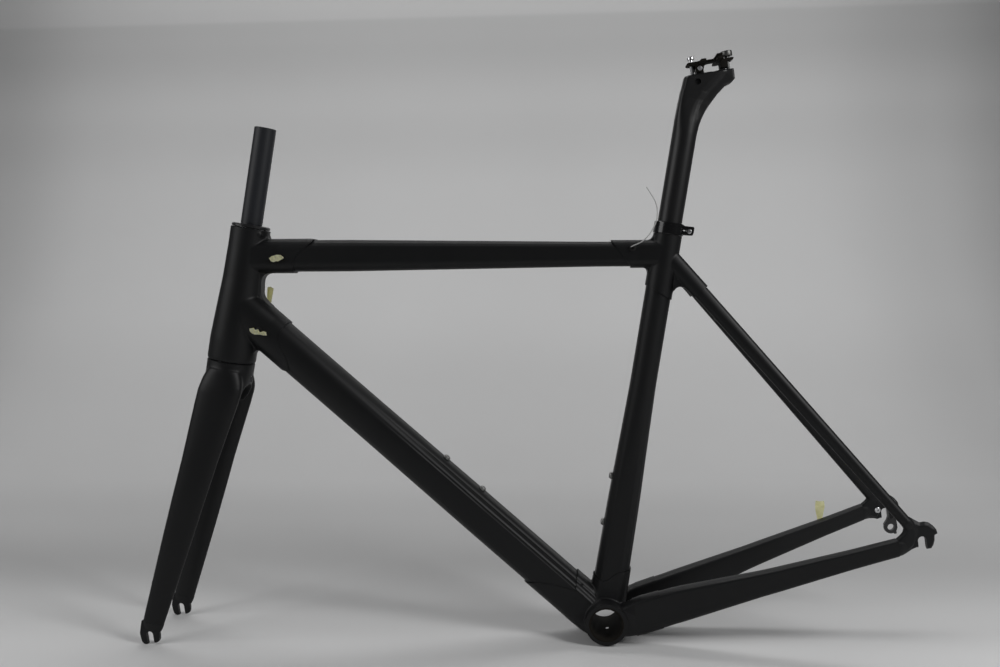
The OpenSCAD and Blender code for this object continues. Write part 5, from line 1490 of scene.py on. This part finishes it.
def set_studio():
    clear_bench()
    bpy.ops.mesh.primitive_plane_add(size=1, location=(0, 0, FLOOR_Z * 0.001 - 0.0002))
    sweep = named(bpy.context.object, "studio_sweep")
    sweep.scale = (9, 5, 1)
    sweep.location.y = -0.7
    bpy.ops.object.transform_apply(location=True, rotation=True, scale=True)
    open_mesh(sweep, "EDGE")
    bpy.ops.mesh.select_all(action="DESELECT")
    close_mesh()
    for edge in sweep.data.edges:
        ends = [sweep.data.vertices[v].co for v in edge.vertices]
        edge.select = all(end.y > 1.7 for end in ends)
    open_mesh(sweep, "EDGE")
    bpy.ops.mesh.extrude_region_move(TRANSFORM_OT_translate={"value": (0, 0.3, 3.4)})
    close_mesh()
    for edge in sweep.data.edges:
        ends = [sweep.data.vertices[v].co for v in edge.vertices]
        edge.select = all(1.7 < end.y < 1.9 for end in ends)
    open_mesh(sweep, "EDGE")
    bpy.ops.mesh.bevel(offset=0.9, segments=16)
    close_mesh()
    take(sweep)
    bpy.ops.object.shade_smooth()
    material, tree, shader, place = blank_finish("studio_paper_with_painted_shade")
    tone = noise(tree, place, 3.0, 3.0)
    across, back, high = split_axes(tree, place)
    # Painted shade: the paper's colour is darkened and lightened by place along x, y and z, then given its
    # own random tone
    shade = math_node(tree, "MULTIPLY", graded(tree, across, PAPER_PAINTED_SHADE_ACROSS), graded(tree, back, PAPER_PAINTED_SHADE_BACK))
    shade = math_node(tree, "MULTIPLY", shade, graded(tree, high, PAPER_PAINTED_SHADE_UP))
    shade = math_node(tree, "MULTIPLY", shade, math_node(tree, "MULTIPLY_ADD", tone, 0.03, 0.65))
    tree.links.new(shade, shader.inputs["Base Color"])
    shader.inputs["Roughness"].default_value = 0.9
    sweep.data.materials.append(material)

    world = bpy.data.worlds.new("studio_room")
    world.use_nodes = True
    world.node_tree.nodes["Background"].inputs["Color"].default_value = (0.95, 0.97, 1.0, 1)
    world.node_tree.nodes["Background"].inputs["Strength"].default_value = 0.06
    bpy.context.scene.world = world

    def soft_light(name, place, aim, width, depth, power):
        data = bpy.data.lights.new(name, "AREA")
        data.shape = "RECTANGLE"
        data.size = width
        data.size_y = depth
        data.energy = power
        lamp = bpy.data.objects.new(name, data)
        lamp.location = place
        lamp.rotation_mode = "QUATERNION"
        lamp.rotation_quaternion = (Vector(aim) - Vector(place)).to_track_quat("-Z", "Y")
        bpy.context.scene.collection.objects.link(lamp)

    soft_light("left_window", (-2.0, -0.85, 1.35), (0, 0, 0.5), 1.3, 1.3, 14)
    soft_light("right_softbox", (1.65, -1.05, 1.55), (0.1, 0, 0.5), 0.6, 1.2, 25)
    soft_light("backdrop_wash", (-0.35, 1.0, 2.5), (-0.35, 2.1, 0.6), 2.4, 0.8, 26)


set_camera()
lay_wire()
set_studio()
bpy.context.scene.view_settings.view_transform = "Standard"
